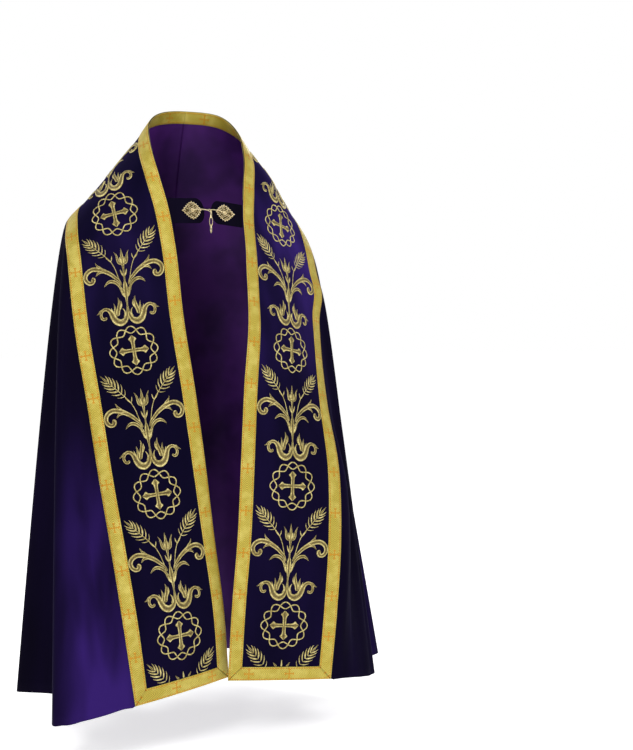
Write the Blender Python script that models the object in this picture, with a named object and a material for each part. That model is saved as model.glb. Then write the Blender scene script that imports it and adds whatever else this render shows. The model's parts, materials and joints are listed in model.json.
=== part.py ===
"""Cope vestment in its worn, hollow shape: velvet body, straight bands, hood, fringe and clasp.

Metres, +Z up, the wearer faces -Y, the wearer's right is -X. The origin is on the neck axis,
level with the neck opening. Run with: blender --background --python part.py
"""
import math

import bpy
import numpy as np

# ---------------------------------------------------------------- named sizes
GAP = 0.0003            # seam gap between neighbouring pieces
VELVET = 0.0020         # wall of body, bands, hood and tabs
BRAID_T = 0.0012        # thickness of a braid
BAND_W = 0.268          # width of a front band
BAND_L = 1.620          # centre back seam to the band's bottom end
BRAID_W = 0.034         # width of the woven braid
FACING_END = 0.400      # how far the gold neck facing runs from the centre back
HEM_TIP = 0.006         # length of the body's last column, at the band's bottom corner

# Edges of the front bands: s = distance along the band from the centre back seam, the inner
# (neck and front) edge, the outer edge, and how far the band bows out between the two.
BAND_RIGHT = np.array([
    # s      inner x    y       z       outer x    y       z      bow
    (0.000,  0.000,  0.091,  0.060,   0.000,  0.190, -0.186,  0.006),
    (0.090, -0.081,  0.051,  0.045,  -0.089,  0.174, -0.194,  0.010),
    (0.180, -0.131, -0.012,  0.006,  -0.175,  0.142, -0.203,  0.022),
    (0.270, -0.145, -0.075, -0.056,  -0.256,  0.096, -0.214,  0.030),
    (0.360, -0.138, -0.125, -0.134,  -0.323,  0.035, -0.232,  0.024),
    (0.450, -0.122, -0.154, -0.220,  -0.352, -0.032, -0.282,  0.013),
    (0.540, -0.111, -0.172, -0.310,  -0.359, -0.084, -0.355,  0.009),
    (0.720, -0.099, -0.200, -0.490,  -0.355, -0.141, -0.527,  0.014),
    (0.900, -0.080, -0.231, -0.668,  -0.334, -0.174, -0.704,  0.023),
    (1.080, -0.062, -0.253, -0.847,  -0.314, -0.204, -0.882,  0.030),
    (1.260, -0.041, -0.255, -1.026,  -0.293, -0.239, -1.058,  0.033),
    (1.440, -0.016, -0.251, -1.204,  -0.275, -0.277, -1.232,  0.024),
    (1.620,  0.000, -0.243, -1.383,  -0.257, -0.309, -1.409,  0.007),
])
BAND_LEFT = np.array([
    (0.000,  0.000,  0.091,  0.060,   0.000,  0.190, -0.186,  0.006),
    (0.090,  0.081,  0.053,  0.047,   0.090,  0.177, -0.190,  0.014),
    (0.180,  0.113, -0.009, -0.004,   0.176,  0.149, -0.194,  0.030),
    (0.270,  0.110, -0.065, -0.074,   0.250,  0.098, -0.203,  0.038),
    (0.360,  0.093, -0.105, -0.152,   0.298,  0.033, -0.239,  0.025),
    (0.450,  0.079, -0.140, -0.234,   0.312, -0.027, -0.301,  0.012),
    (0.540,  0.073, -0.175, -0.318,   0.312, -0.073, -0.378,  0.009),
    (0.600,  0.068, -0.194, -0.375,   0.317, -0.094, -0.432,  0.011),
    (0.660,  0.064, -0.213, -0.432,   0.301, -0.114, -0.490,  0.015),
    (0.720,  0.059, -0.231, -0.489,   0.296, -0.131, -0.545,  0.019),
    (0.900,  0.035, -0.264, -0.666,   0.286, -0.199, -0.709,  0.022),
    (1.080,  0.019, -0.284, -0.846,   0.284, -0.278, -0.870,  0.013),
    (1.260,  0.010, -0.284, -1.025,   0.272, -0.319, -1.043,  0.007),
    (1.440, -0.002, -0.274, -1.204,   0.260, -0.322, -1.222,  0.004),
    (1.620, -0.012, -0.271, -1.384,   0.251, -0.304, -1.400,  0.003),
])

# Folds at the hem: where the line of the fold leaves the band (s), where it meets the hem, and how
# late the fold opens on the way down (1 = evenly from the top, 2 = mostly near the hem).
FOLDS_RIGHT = np.array([
    # s       x       y       z     late
    (0.000,  0.000,  0.215, -1.455, 3.0),   # centre back seam, a valley
    (0.070, -0.080,  0.285, -1.460, 3.0),   # crest
    (0.120, -0.155,  0.240, -1.455, 3.0),   # valley
    (0.170, -0.250,  0.262, -1.460, 2.8),   # crest
    (0.220, -0.315,  0.160, -1.450, 2.2),   # valley
    (0.270, -0.420,  0.135, -1.455, 1.5),   # crest
    (0.320, -0.385,  0.040, -1.440, 1.3),   # valley
    (0.375, -0.480, -0.005, -1.428, 1.1),   # crest at the side
    (0.440, -0.385, -0.105, -1.424, 1.0),   # valley behind the arm
    (0.520, -0.445, -0.262, -1.440, 1.0),   # crest in front of the arm
    (0.600, -0.425, -0.300, -1.436, 1.0),
    (0.760, -0.382, -0.318, -1.426, 1.0),
    (1.000, -0.335, -0.322, -1.418, 1.0),
    (1.300, -0.290, -0.316, -1.411, 1.0),
])
FOLDS_LEFT = np.array([
    (0.000,  0.000,  0.215, -1.455, 3.0),
    (0.070,  0.085,  0.312, -1.462, 3.0),
    (0.125,  0.190,  0.318, -1.462, 2.8),
    (0.175,  0.275,  0.205, -1.455, 2.4),
    (0.225,  0.365,  0.200, -1.458, 1.5),
    (0.275,  0.375,  0.080, -1.448, 1.3),
    (0.335,  0.512, -0.030, -1.424, 1.1),
    (0.405,  0.405, -0.095, -1.428, 1.0),
    (0.490,  0.412, -0.215, -1.420, 1.0),
    (0.590,  0.388, -0.252, -1.418, 1.0),
    (0.760,  0.352, -0.278, -1.412, 1.0),
    (1.000,  0.316, -0.294, -1.406, 1.0),
    (1.300,  0.280, -0.304, -1.402, 1.0),
])
COLUMNS_PER_FOLD = 3
BODY_ROWS = 12
SIDES = {"right": (BAND_RIGHT, FOLDS_RIGHT, -1.0), "left": (BAND_LEFT, FOLDS_LEFT, 1.0)}

# Hood: half width and depth of the flat shield, and the back it lies on: height, y at the centre,
# how strongly the back rounds away sideways, and how much fuller it is towards the wearer's left.
HOOD_HALF_W = 0.284
HOOD_DEPTH = 0.456
HOOD_CORNER = 0.155
HOOD_MID_Z = -0.188      # height its straight lower edge is measured from
HOOD_BRAID = 0.022
HOOD_TOP_BRAID = 0.029
HOOD_STRIP = 0.022      # velvet showing between the two braids
HOOD_BACK = np.array([
    # z       y     round   lean
    (-0.180, 0.199, 1.36, 0.020),
    (-0.320, 0.216, 1.03, 0.024),
    (-0.450, 0.229, 0.95, 0.032),
    (-0.600, 0.243, 0.80, 0.045),
    (-0.760, 0.254, 0.56, 0.070),
])
FRINGE_T = 0.004
FRINGE_BOTTOM = 0.066
FRINGE_SIDE = 0.036

# Morse: two tabs between the fronts, and the filigree clasp on them.
TAB_H = 0.065
TAB_S = (0.455, 0.448)  # where the tabs' middle line leaves the right and the left band
TAB_SHORT = {"right": 0.006, "left": 0.013}     # from each tab's round end to the middle
TAB_RISE = 0.007        # how far the clasp's middle stands above the line between the roots
PLATE_BACK = {"right": 0.033, "left": 0.036}    # from the tab's end back to the plate's centre
PLATE_R = 0.0225
PLATE_T = 0.0015
WIRE_R = 0.0009


# ---------------------------------------------------------------- small helpers
def smooth_rows(table, x):
    """Value of every column of the table at x (first column), by a smooth curve through the rows.

    A table that starts at the centre back (x = 0) leaves it square to the seam: only its x values
    have a slope there.
    """
    t = table[:, 0]
    v = table[:, 1:]
    slope = np.gradient(v, t, axis=0)
    if t[0] == 0.0:
        slope[0] *= np.where(v[0] == 0.0, 1.0, 0.0)
    x = np.atleast_1d(np.asarray(x, float))
    k = np.clip(np.searchsorted(t, x, side="right") - 1, 0, len(t) - 2)
    h = (t[k + 1] - t[k])[:, None]
    u = ((x - t[k])[:, None]) / h
    return ((2 * u**3 - 3 * u**2 + 1) * v[k] + (u**3 - 2 * u**2 + u) * h * slope[k]
            + (3 * u**2 - 2 * u**3) * v[k + 1] + (u**3 - u**2) * h * slope[k + 1])


def unit(v):
    return v / np.maximum(np.linalg.norm(v, axis=-1, keepdims=True), 1e-12)


def cross_point(side, s, v):
    """Points of a band's outer face: s along it, v across it from the free edge."""
    s, v = np.broadcast_arrays(np.atleast_1d(np.asarray(s, float)), np.asarray(v, float))
    row = smooth_rows(SIDES[side][0], s.ravel())
    t = (v.ravel() / BAND_W)[:, None]
    inner, outer, bow = row[:, 0:3], row[:, 3:6], row[:, 6:7]
    near = smooth_rows(SIDES[side][0], np.clip(s.ravel() + 0.01, 0, BAND_L))
    far = smooth_rows(SIDES[side][0], np.clip(s.ravel() - 0.01, 0, BAND_L))
    along = (near - far)[:, 0:3] + (near - far)[:, 3:6]
    out = unit(np.cross(outer - inner, along)) * -SIDES[side][2]
    out[s.ravel() < 1e-6, 0] = 0.0
    p = (1 - t) * inner + t * outer + 4 * t * (1 - t) * bow * unit(out)
    return p.reshape(s.shape + (3,))


def band_frame(side, s, v):
    """Point, outward normal and across direction of a band."""
    s = np.atleast_1d(np.asarray(s, float))
    d = 0.002
    p = cross_point(side, s, v)
    ds = cross_point(side, np.clip(s + d, 0, BAND_L), v) - cross_point(side, np.clip(s - d, 0, BAND_L), v)
    dv = cross_point(side, s, np.asarray(v) + d) - cross_point(side, s, np.asarray(v) - d)
    n = unit(np.cross(dv, ds)) * -SIDES[side][2]
    seam = np.broadcast_to(s, p.shape[:-1]) < 1e-6
    n[seam, 0] = 0.0
    return p, unit(n), unit(dv)


def grid_normals(p):
    """Normal of every point of a grid (rows, columns, xyz) from its neighbours."""
    return unit(np.cross(np.gradient(p, axis=0), np.gradient(p, axis=1)))


def solid_from_grid(name, outer, inner, slot):
    """Closed solid between two grids of points of the same size."""
    r, c = outer.shape[:2]
    verts = np.concatenate([outer.reshape(-1, 3), inner.reshape(-1, 3)])
    a = np.arange(r * c).reshape(r, c)
    b = a + r * c
    faces = [np.stack([a[:-1, :-1], a[1:, :-1], a[1:, 1:], a[:-1, 1:]], -1).reshape(-1, 4),
             np.stack([b[:-1, :-1], b[:-1, 1:], b[1:, 1:], b[1:, :-1]], -1).reshape(-1, 4)]
    ring = np.concatenate([a[0, :-1], a[:-1, -1], a[-1, :0:-1], a[:0:-1, 0]])
    nxt = np.roll(ring, -1)
    faces.append(np.stack([ring, nxt, nxt + r * c, ring + r * c], -1))
    add_mesh(name, verts, np.concatenate(faces).tolist(), slot)


def add_mesh(name, verts, faces, slot):
    """Object from points and faces, made to face outward by the sign of its volume."""
    verts = np.asarray(verts, float)
    volume = 0.0
    for f in faces:
        for k in range(1, len(f) - 1):
            volume += np.dot(verts[f[0]], np.cross(verts[f[k]], verts[f[k + 1]]))
    if volume < 0:
        faces = [tuple(reversed(f)) for f in faces]
    mesh = bpy.data.meshes.new(name)
    mesh.from_pydata(verts.tolist(), [], [tuple(int(i) for i in f) for f in faces])
    mesh.update()
    obj = bpy.data.objects.new(name, mesh)
    bpy.context.scene.collection.objects.link(obj)
    mesh.materials.append(material(name, slot))
    return obj


SLOTS = {
    # slot      colour                 roughness  metallic
    "velvet":  ((0.045, 0.012, 0.115), 0.85, 0.0),
    "braid":   ((0.640, 0.420, 0.090), 0.60, 0.0),
    "facing":  ((0.560, 0.370, 0.120), 0.65, 0.0),
    "fringe":  ((0.420, 0.250, 0.100), 0.75, 0.0),
    "clasp":   ((0.830, 0.690, 0.400), 0.30, 1.0),
}


def material(name, slot):
    colour, rough, metal = SLOTS[slot]
    mat = bpy.data.materials.new(name + "_" + slot)
    mat.use_nodes = True
    shader = mat.node_tree.nodes["Principled BSDF"]
    shader.inputs["Base Color"].default_value = (*colour, 1.0)
    shader.inputs["Roughness"].default_value = rough
    shader.inputs["Metallic"].default_value = metal
    mat.diffuse_color = (*colour, 1.0)
    return mat


# ---------------------------------------------------------------- stations shared by bands and body
def stations(side):
    """Stations along the band: every fold line, the braid's half width and the bottom braid."""
    rows = SIDES[side][1][:, 0]
    s = [0.0, BRAID_W / 2]
    for a, b in zip(rows[:-1], rows[1:]):
        n = COLUMNS_PER_FOLD if b - a < 0.1 else 2
        s += list(a + (b - a) * np.arange(1, n + 1) / n)
    s += [1.41, 1.50, BAND_L - BRAID_W, BAND_L]
    s = np.array(sorted(s))
    keep = np.concatenate([[True], np.diff(s) > 0.006])
    return s[keep]


BAND_V = np.array([0.0, BRAID_W, BAND_W / 2, BAND_W - BRAID_W, BAND_W])


def band_grid(side, s, v, lift):
    """Points of the band's grid, moved out of its outer face by lift."""
    p, n, _ = band_frame(side, np.asarray(s)[None, :], np.asarray(v)[:, None])
    q = p + n * lift
    seam = np.asarray(s) < 1e-6
    q[:, seam, 0] = SIDES[side][2] * GAP / 2
    return q


def body_grid(side):
    """Outer points of a quarter panel (rows down, columns along) and their normals."""
    _, folds, sign = SIDES[side]
    s = stations(side)
    top, normal, across = band_frame(side, s, BAND_W)
    last = np.concatenate([[BAND_L], top[-1] + across[-1] * HEM_TIP + (0, 0, -0.002), [1.0]])
    hem_table = np.concatenate([folds, last[None, :]])
    hem = smooth_rows(hem_table, s)
    late = np.clip(hem[:, 3:4], 1.0, 3.0)
    hem = hem[:, 0:3]
    window = np.exp(-((s[:, None] - s[None, :]) / 0.075) ** 2) * np.gradient(s)[None, :]
    mirrored = np.exp(-((s[:, None] + s[None, :]) / 0.075) ** 2) * np.gradient(s)[None, :]
    total = (window + mirrored).sum(1, keepdims=True)
    flip = hem * (-1, 1, 1)
    plain = (window @ hem + mirrored @ flip) / total
    weight = np.clip((s - 0.50) / 0.25, 0, 1)[:, None]
    plain = (1 - weight) * plain + weight * hem
    t = (np.arange(BODY_ROWS + 1) / BODY_ROWS)[:, None, None] ** 1.15
    start = top + across * GAP
    length = np.linalg.norm(hem - start, axis=1, keepdims=True)
    reach = np.interp(s, [0.0, 0.22, 0.34, 0.60, 1.05, 1.30, 1.62],
                      [0.085, 0.055, 0.018, 0.026, 0.044, 0.030, 0.004])[:, None]
    handle = start + across * np.minimum(reach, 0.30 * length)

    def path(end):
        lower = handle + 0.35 * (end - handle)
        return ((1 - t) ** 3 * start + 3 * (1 - t) ** 2 * t * handle
                + 3 * (1 - t) * t**2 * lower + t**3 * end)

    p = path(plain) + (hem - plain) * t ** late
    p[:, 0, 0] = sign * GAP / 2
    n = grid_normals(p) * -sign
    n[0] = normal
    n[:, 0, 0] = 0.0
    return s, p, unit(n)


# ---------------------------------------------------------------- cloth pieces
def build_body_and_bands():
    for side in SIDES:
        s, p, n = body_grid(side)
        solid_from_grid("body_" + side, p, p - n * VELVET, "velvet")
        solid_from_grid("orphrey_" + side, band_grid(side, s, BAND_V, 0),
                        band_grid(side, s, BAND_V, -VELVET), "velvet")


def build_galloons():
    for side in SIDES:
        s = stations(side)
        mitre = BRAID_W - 2 * GAP
        for name, v0, v1 in (("inner", 0.0, BRAID_W), ("outer", BAND_W, BAND_W - BRAID_W)):
            lo, hi = sorted((v0, v1))
            grids = []
            for lift in (GAP + BRAID_T, GAP):
                g = band_grid(side, s, np.array([lo, hi]), lift)
                corner = 1 if v0 < v1 else 0
                g[corner, -1] = band_grid(side, [BAND_L - 0.0012], [v0 + (v1 - v0) * 0.03], lift)[0, 0]
                grids.append(g)
            solid_from_grid("galloon_%s_%s" % (name, side), grids[0], grids[1], "braid")
        v_top = np.array([BRAID_W + 3 * GAP, BRAID_W + 5 * GAP, BAND_W / 2])
        v_end = np.array([0.0026, BRAID_W, BAND_W / 2])
        v_top = np.concatenate([v_top, BAND_W - v_top[1::-1]])
        v_end = np.concatenate([v_end, BAND_W - v_end[1::-1]])
        grids = []
        for lift in (GAP + BRAID_T, GAP):
            a = band_grid(side, [BAND_L - mitre], v_top, lift)[:, 0]
            b = band_grid(side, [BAND_L], v_end, lift)[:, 0]
            grids.append(np.stack([a, b], 1))
        solid_from_grid("galloon_hem_" + side, grids[0], grids[1], "braid")


def both_sides(s, v, lift):
    """Band grid across the centre back: left stations reversed, the seam, right stations."""
    left = band_grid("left", s, v, lift)[:, :0:-1]
    right = band_grid("right", s, v, lift)[:, 1:]
    seam = 0.5 * (band_grid("left", s[:1], v, lift) + band_grid("right", s[:1], v, lift))
    return np.concatenate([left, seam, right], 1)


def build_centre_back():
    v = np.array([BRAID_W + 2 * GAP, BAND_W / 2, BAND_W - BRAID_W - 2 * GAP])
    s = np.array([0.0, BRAID_W / 2])
    solid_from_grid("galloon_centre_back", both_sides(s, v, GAP + BRAID_T), both_sides(s, v, GAP), "braid")


def build_facing():
    v = np.array([0.0, BRAID_W])
    for side in SIDES:
        s = stations(side)
        s = s[s < FACING_END]
        solid_from_grid("neck_facing_" + side, band_grid(side, s, v, -VELVET - GAP),
                        band_grid(side, s, v, -VELVET - GAP - BRAID_T), "facing")


# ---------------------------------------------------------------- hood
def back_point(x, z, lift=0.0):
    """Point of the hood's own back surface at x and z, moved backward by lift."""
    row = smooth_rows(HOOD_BACK[::-1], np.asarray(z, float).ravel())
    centre, bow, lean = (row[:, k].reshape(np.shape(z)) for k in range(3))
    y = centre - bow * np.asarray(x) ** 2 + lean * np.asarray(x)
    return np.stack([np.broadcast_to(x, y.shape), y + lift, z], -1)


def hood_outline(inset, top=0.0, corner_steps=6, reach_side=0.0, reach_bottom=0.0):
    """Hood edge as (across, down) from the top left round to the top right, set in by inset."""
    w = HOOD_HALF_W - inset + reach_side
    d = HOOD_DEPTH - inset + reach_bottom
    r = max(HOOD_CORNER - inset + 0.5 * (reach_side + reach_bottom), 0.02)
    pts = [(-w, top + (d - r - top) * k / 4) for k in range(4)]
    for k in range(corner_steps + 1):
        a = math.pi / 2 * k / corner_steps
        pts.append((-w + r - r * math.cos(a), d - r + r * math.sin(a)))
    pts += [(-w + r + (2 * w - 2 * r) * k / 4, d) for k in range(1, 4)]
    for k in range(corner_steps + 1):
        a = math.pi / 2 * (1 - k / corner_steps)
        pts.append((w - r + r * math.cos(a), d - r + r * math.sin(a)))
    pts += [(w, top + (d - r - top) * k / 4) for k in range(3, -1, -1)]
    return np.array(pts)


def hood_top_z(x):
    """Height of the bands' outer edge over x, where the hood starts."""
    s = np.linspace(0, 0.36, 60)
    edge_r = cross_point("right", s, BAND_W)
    edge_l = cross_point("left", s, BAND_W)
    xs = np.concatenate([edge_r[::-1, 0], edge_l[1:, 0]])
    zs = np.concatenate([edge_r[::-1, 2], edge_l[1:, 2]])
    return np.interp(x, xs, zs)


def on_hood(flat, lift):
    """3-D points of flat hood points (across, down): the top follows the bands' edge, which rises to the
    middle, and the lower edge is straight."""
    across, down = flat[..., 0], flat[..., 1]
    straight = np.clip(down / HOOD_DEPTH, 0, 1)
    top = hood_top_z(across * 0.94) * (1 - straight) + HOOD_MID_Z * straight
    z = top - 0.004 - down * 0.995
    bow = smooth_rows(HOOD_BACK[::-1], z.ravel())[:, 1].reshape(z.shape)
    x = across / (1 + (2 * bow * across) ** 2 / 6)
    return back_point(x, z, lift)


def hood_columns():
    """Across stations of the shield: where its braids begin and end, and the middle."""
    inset = np.array([0.0, HOOD_BRAID, HOOD_BRAID + HOOD_STRIP, HOOD_BRAID + HOOD_STRIP + BRAID_W])
    half = np.concatenate([HOOD_HALF_W - inset, [0.100]])
    return np.concatenate([-half, [0.0], half[::-1]])


def build_hood():
    edge = hood_outline(0.0)
    half = len(edge) // 2
    left, right = edge[:half], edge[:-half - 1:-1]
    mix = (0.5 + 0.5 * hood_columns() / HOOD_HALF_W)[None, :, None]
    grid = left[:, None] * (1 - mix) + right[:, None] * mix
    outer, inner = on_hood(grid, VELVET), on_hood(grid, 0.0)
    solid_from_grid("hood", outer, inner, "velvet")


def ring_on_hood(name, inset0, inset1, lift0, lift1, slot):
    """Strip between two insets of the hood's edge, round both sides and the bottom."""
    a, b = hood_outline(inset0, HOOD_TOP_BRAID + 2 * GAP), hood_outline(inset1, HOOD_TOP_BRAID + 2 * GAP)
    flat = np.stack([a, b])
    solid_from_grid(name, on_hood(flat, lift1), on_hood(flat, lift0), slot)


CLEAR = 0.0016          # the shield is facetted: trims on it stand this far off


def build_hood_trims():
    low, high = VELVET + CLEAR, VELVET + CLEAR + BRAID_T
    ring_on_hood("hood_galloon_outer", 0.0, HOOD_BRAID, low, high, "braid")
    inset = HOOD_BRAID + HOOD_STRIP
    ring_on_hood("hood_galloon_inner", inset, inset + BRAID_W, low, high, "braid")
    across = hood_columns()
    flat = np.stack([np.stack([across, np.full(len(across), d)], -1) for d in (0.0005, HOOD_TOP_BRAID)])
    solid_from_grid("hood_galloon_top", on_hood(flat, high), on_hood(flat, low), "braid")
    a, b = hood_outline(-0.0006), hood_outline(0.0, reach_side=FRINGE_SIDE, reach_bottom=FRINGE_BOTTOM)
    b[0, 1], b[-1, 1] = 0.030, 0.030
    flat = np.stack([a, b])
    solid_from_grid("hood_fringe", on_hood(flat, FRINGE_T), on_hood(flat, 0.0), "fringe")


# ---------------------------------------------------------------- morse and clasp
def morse_frames():
    """For each tab: its root on the band's free edge, direction to the middle, up, outward, the middle
    and the slope of the band's edge against up. The tab lies in the plane of that edge."""
    root = {k: cross_point(k, [s], 0.0)[0] for k, s in zip(("right", "left"), TAB_S)}
    mid = 0.5 * (root["right"] + root["left"]) + np.array((0.0, 0.0, TAB_RISE))
    frames = {}
    for side, s in zip(("right", "left"), TAB_S):
        edge = unit(cross_point(side, [s - 0.03], 0.0)[0] - cross_point(side, [s + 0.03], 0.0)[0])
        to_mid = unit(mid - root[side])
        up = unit(edge - to_mid * np.dot(edge, to_mid))
        out = np.cross(to_mid, up)
        out = unit(out * (-1 if out[1] > 0 else 1))
        frames[side] = (root[side], to_mid, up, out, mid, np.dot(edge, to_mid) / np.dot(edge, up))
    return frames


def plate(name, outline, frame, lift, thickness, slot):
    """Flat plate: outline (along, up) in a frame, lifted outward from it, with its thickness."""
    root, along, up, out = frame[:4]
    flat = root + outline[:, :1] * along + outline[:, 1:2] * up
    n = len(outline)
    verts = np.concatenate([flat + out * (lift + thickness), flat + out * lift])
    faces = [list(range(n)), list(range(2 * n - 1, n - 1, -1))]
    faces += [[(k + 1) % n, k, k + n, (k + 1) % n + n] for k in range(n)]
    return add_mesh(name, verts, faces, slot)


def tab_outline(length, slope):
    """Tab: root cut along the band's edge, long parallel edges and a half-round end."""
    h = TAB_H / 2
    pts = [(0.0020 - slope * h, -h)]
    for k in range(13):
        a = -math.pi / 2 + math.pi * k / 12
        pts.append((length - h * 0.62 + h * 0.62 * math.cos(a), h * math.sin(a)))
    pts.append((0.0020 + slope * h, h))
    return np.array(pts)


def filigree_outline(centre):
    """Lozenge plate with rounded sides, a scalloped edge and a longer point towards the root."""
    pts = []
    for k in range(80):
        a = 2 * math.pi * k / 80
        lozenge = (abs(math.cos(a)) ** 1.4 + abs(math.sin(a)) ** 1.4) ** (-1 / 1.4)
        r = PLATE_R * lozenge * (0.96 + 0.04 * math.cos(20 * a))
        r *= 1 + 0.18 * math.exp(-((a - math.pi) / 0.25) ** 2)
        pts.append((centre + r * math.cos(a), r * math.sin(a)))
    return np.array(pts)


def wire_loop(name, centre, u, v, long_half, short_half, wire=WIRE_R):
    """Closed wire link: a rounded oval of wire in the plane of u (long) and v (short)."""
    n = np.cross(u, v)
    steps, sides = 28, 8
    a = 2 * np.pi * np.arange(steps) / steps
    path = centre + long_half * np.cos(a)[:, None] * u + short_half * np.sin(a)[:, None] * v
    tangent = unit(-long_half * np.sin(a)[:, None] * u + short_half * np.cos(a)[:, None] * v)
    outward = np.cross(tangent, n)
    b = 2 * np.pi * np.arange(sides) / sides
    verts = path[:, None] + wire * (np.cos(b)[None, :, None] * outward[:, None]
                                    + np.sin(b)[None, :, None] * n)
    faces = []
    for i in range(steps):
        for j in range(sides):
            i2, j2 = (i + 1) % steps, (j + 1) % sides
            faces.append((i * sides + j, i2 * sides + j, i2 * sides + j2, i * sides + j2))
    return add_mesh(name, verts.reshape(-1, 3), faces, "clasp")


def build_morse():
    frames = morse_frames()
    for side, frame in frames.items():
        length = np.linalg.norm(frame[4] - frame[0]) - TAB_SHORT[side]
        plate("morse_tab_" + side, tab_outline(length, frame[5]), frame, -VELVET, VELVET, "velvet")
        plate("clasp_plate_" + side, filigree_outline(length - PLATE_BACK[side]), frame, GAP, PLATE_T, "clasp")
    mid = frames["left"][4]
    out_mid = unit(frames["left"][3] + frames["right"][3])
    side_dir = unit(frames["left"][0] - frames["right"][0])
    side_dir = unit(side_dir - out_mid * np.dot(side_dir, out_mid))
    rise = np.cross(out_mid, side_dir)
    rise = rise * (1 if rise[2] > 0 else -1)
    centre = mid + out_mid * (PLATE_T + 0.0046) + side_dir * 0.0045
    wire_loop("clasp_link", centre, side_dir, rise, 0.0235, 0.0045)
    down = np.array((0.0, 0.0, -1.0))
    level = unit(np.array((side_dir[0], side_dir[1], 0.0)))
    ahead = np.cross(level, down)
    ahead = ahead * (1 if np.dot(ahead, out_mid) > 0 else -1)
    hang = centre + side_dir * 0.0043 - rise * 0.0044
    top = hang + down * (0.0095 - 0.0030)
    wire_loop("chain_loop", top, down, ahead, 0.0095, 0.0034)
    wire_loop("chain_ring", top + down * 0.0185, down, level, 0.0115, 0.0040)
    wire_loop("chain_drop", top + down * 0.0370, down, ahead, 0.0100, 0.0036)


# ---------------------------------------------------------------- build
for old in list(bpy.data.objects):
    bpy.data.objects.remove(old, do_unlink=True)

build_body_and_bands()
build_galloons()
build_centre_back()
build_facing()
build_hood()
build_hood_trims()
build_morse()
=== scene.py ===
"""Purple velvet cope in its worn shape: embroidered bands, gold galloon, fringed hood and clasp."""
import json
import math

import bpy
import numpy as np
from mathutils import Matrix, Vector

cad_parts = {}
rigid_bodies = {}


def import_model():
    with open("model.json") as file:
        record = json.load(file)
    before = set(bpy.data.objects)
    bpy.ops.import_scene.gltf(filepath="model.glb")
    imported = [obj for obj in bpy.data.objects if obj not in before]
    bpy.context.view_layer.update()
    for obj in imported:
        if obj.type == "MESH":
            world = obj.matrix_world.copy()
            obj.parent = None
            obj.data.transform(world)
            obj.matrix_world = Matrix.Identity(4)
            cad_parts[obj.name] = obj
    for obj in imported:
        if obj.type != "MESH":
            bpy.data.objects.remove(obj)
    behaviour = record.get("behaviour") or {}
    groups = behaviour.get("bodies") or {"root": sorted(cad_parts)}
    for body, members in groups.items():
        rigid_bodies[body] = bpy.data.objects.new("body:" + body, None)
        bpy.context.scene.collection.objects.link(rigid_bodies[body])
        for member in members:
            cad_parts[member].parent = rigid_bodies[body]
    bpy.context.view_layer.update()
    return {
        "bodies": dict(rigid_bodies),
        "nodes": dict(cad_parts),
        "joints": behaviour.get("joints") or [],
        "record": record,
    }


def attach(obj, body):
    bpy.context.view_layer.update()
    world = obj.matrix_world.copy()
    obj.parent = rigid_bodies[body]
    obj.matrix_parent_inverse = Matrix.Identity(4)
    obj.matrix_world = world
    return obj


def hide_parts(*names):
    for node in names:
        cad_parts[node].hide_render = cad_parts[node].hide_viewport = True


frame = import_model()
GARMENT, CHAIN = "garment", "chain"

# ---------------------------------------------------------------- named sizes (metres)
GAP = 0.0003            # clear space between pieces that lie against each other
VELVET = 0.0020         # thickness of the lined velvet
BRAID_T = 0.0012        # thickness of a braid
BAND_W = 0.268          # width of a front band
BAND_L = 1.620          # its length, from the centre back to its bottom end
BRAID_W = 0.034         # width of the wide galloon
FACING_END = 0.400      # how far the neck braid runs from the centre back
HEM_TIP = 0.006         # how far the front corner of the body's hem stands past the band

# Each band by s, the way along it from the centre back: its two edges, and how far it bows outward.
BAND_RIGHT = np.array([
    # s      inner x    y       z       outer x    y       z      bow
    (0.000,  0.000,  0.091,  0.060,   0.000,  0.190, -0.186,  0.006),
    (0.090, -0.081,  0.051,  0.045,  -0.089,  0.174, -0.194,  0.010),
    (0.180, -0.131, -0.012,  0.006,  -0.175,  0.142, -0.203,  0.022),
    (0.270, -0.145, -0.075, -0.056,  -0.256,  0.096, -0.214,  0.030),
    (0.360, -0.138, -0.125, -0.134,  -0.323,  0.035, -0.232,  0.024),
    (0.450, -0.122, -0.154, -0.220,  -0.352, -0.032, -0.282,  0.013),
    (0.540, -0.111, -0.172, -0.310,  -0.359, -0.084, -0.355,  0.009),
    (0.720, -0.099, -0.200, -0.490,  -0.355, -0.141, -0.527,  0.014),
    (0.900, -0.080, -0.231, -0.668,  -0.334, -0.174, -0.704,  0.023),
    (1.080, -0.062, -0.253, -0.847,  -0.314, -0.204, -0.882,  0.030),
    (1.260, -0.041, -0.255, -1.026,  -0.293, -0.239, -1.058,  0.033),
    (1.440, -0.016, -0.251, -1.204,  -0.275, -0.277, -1.232,  0.024),
    (1.620,  0.000, -0.243, -1.383,  -0.257, -0.309, -1.409,  0.007),
])
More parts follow.
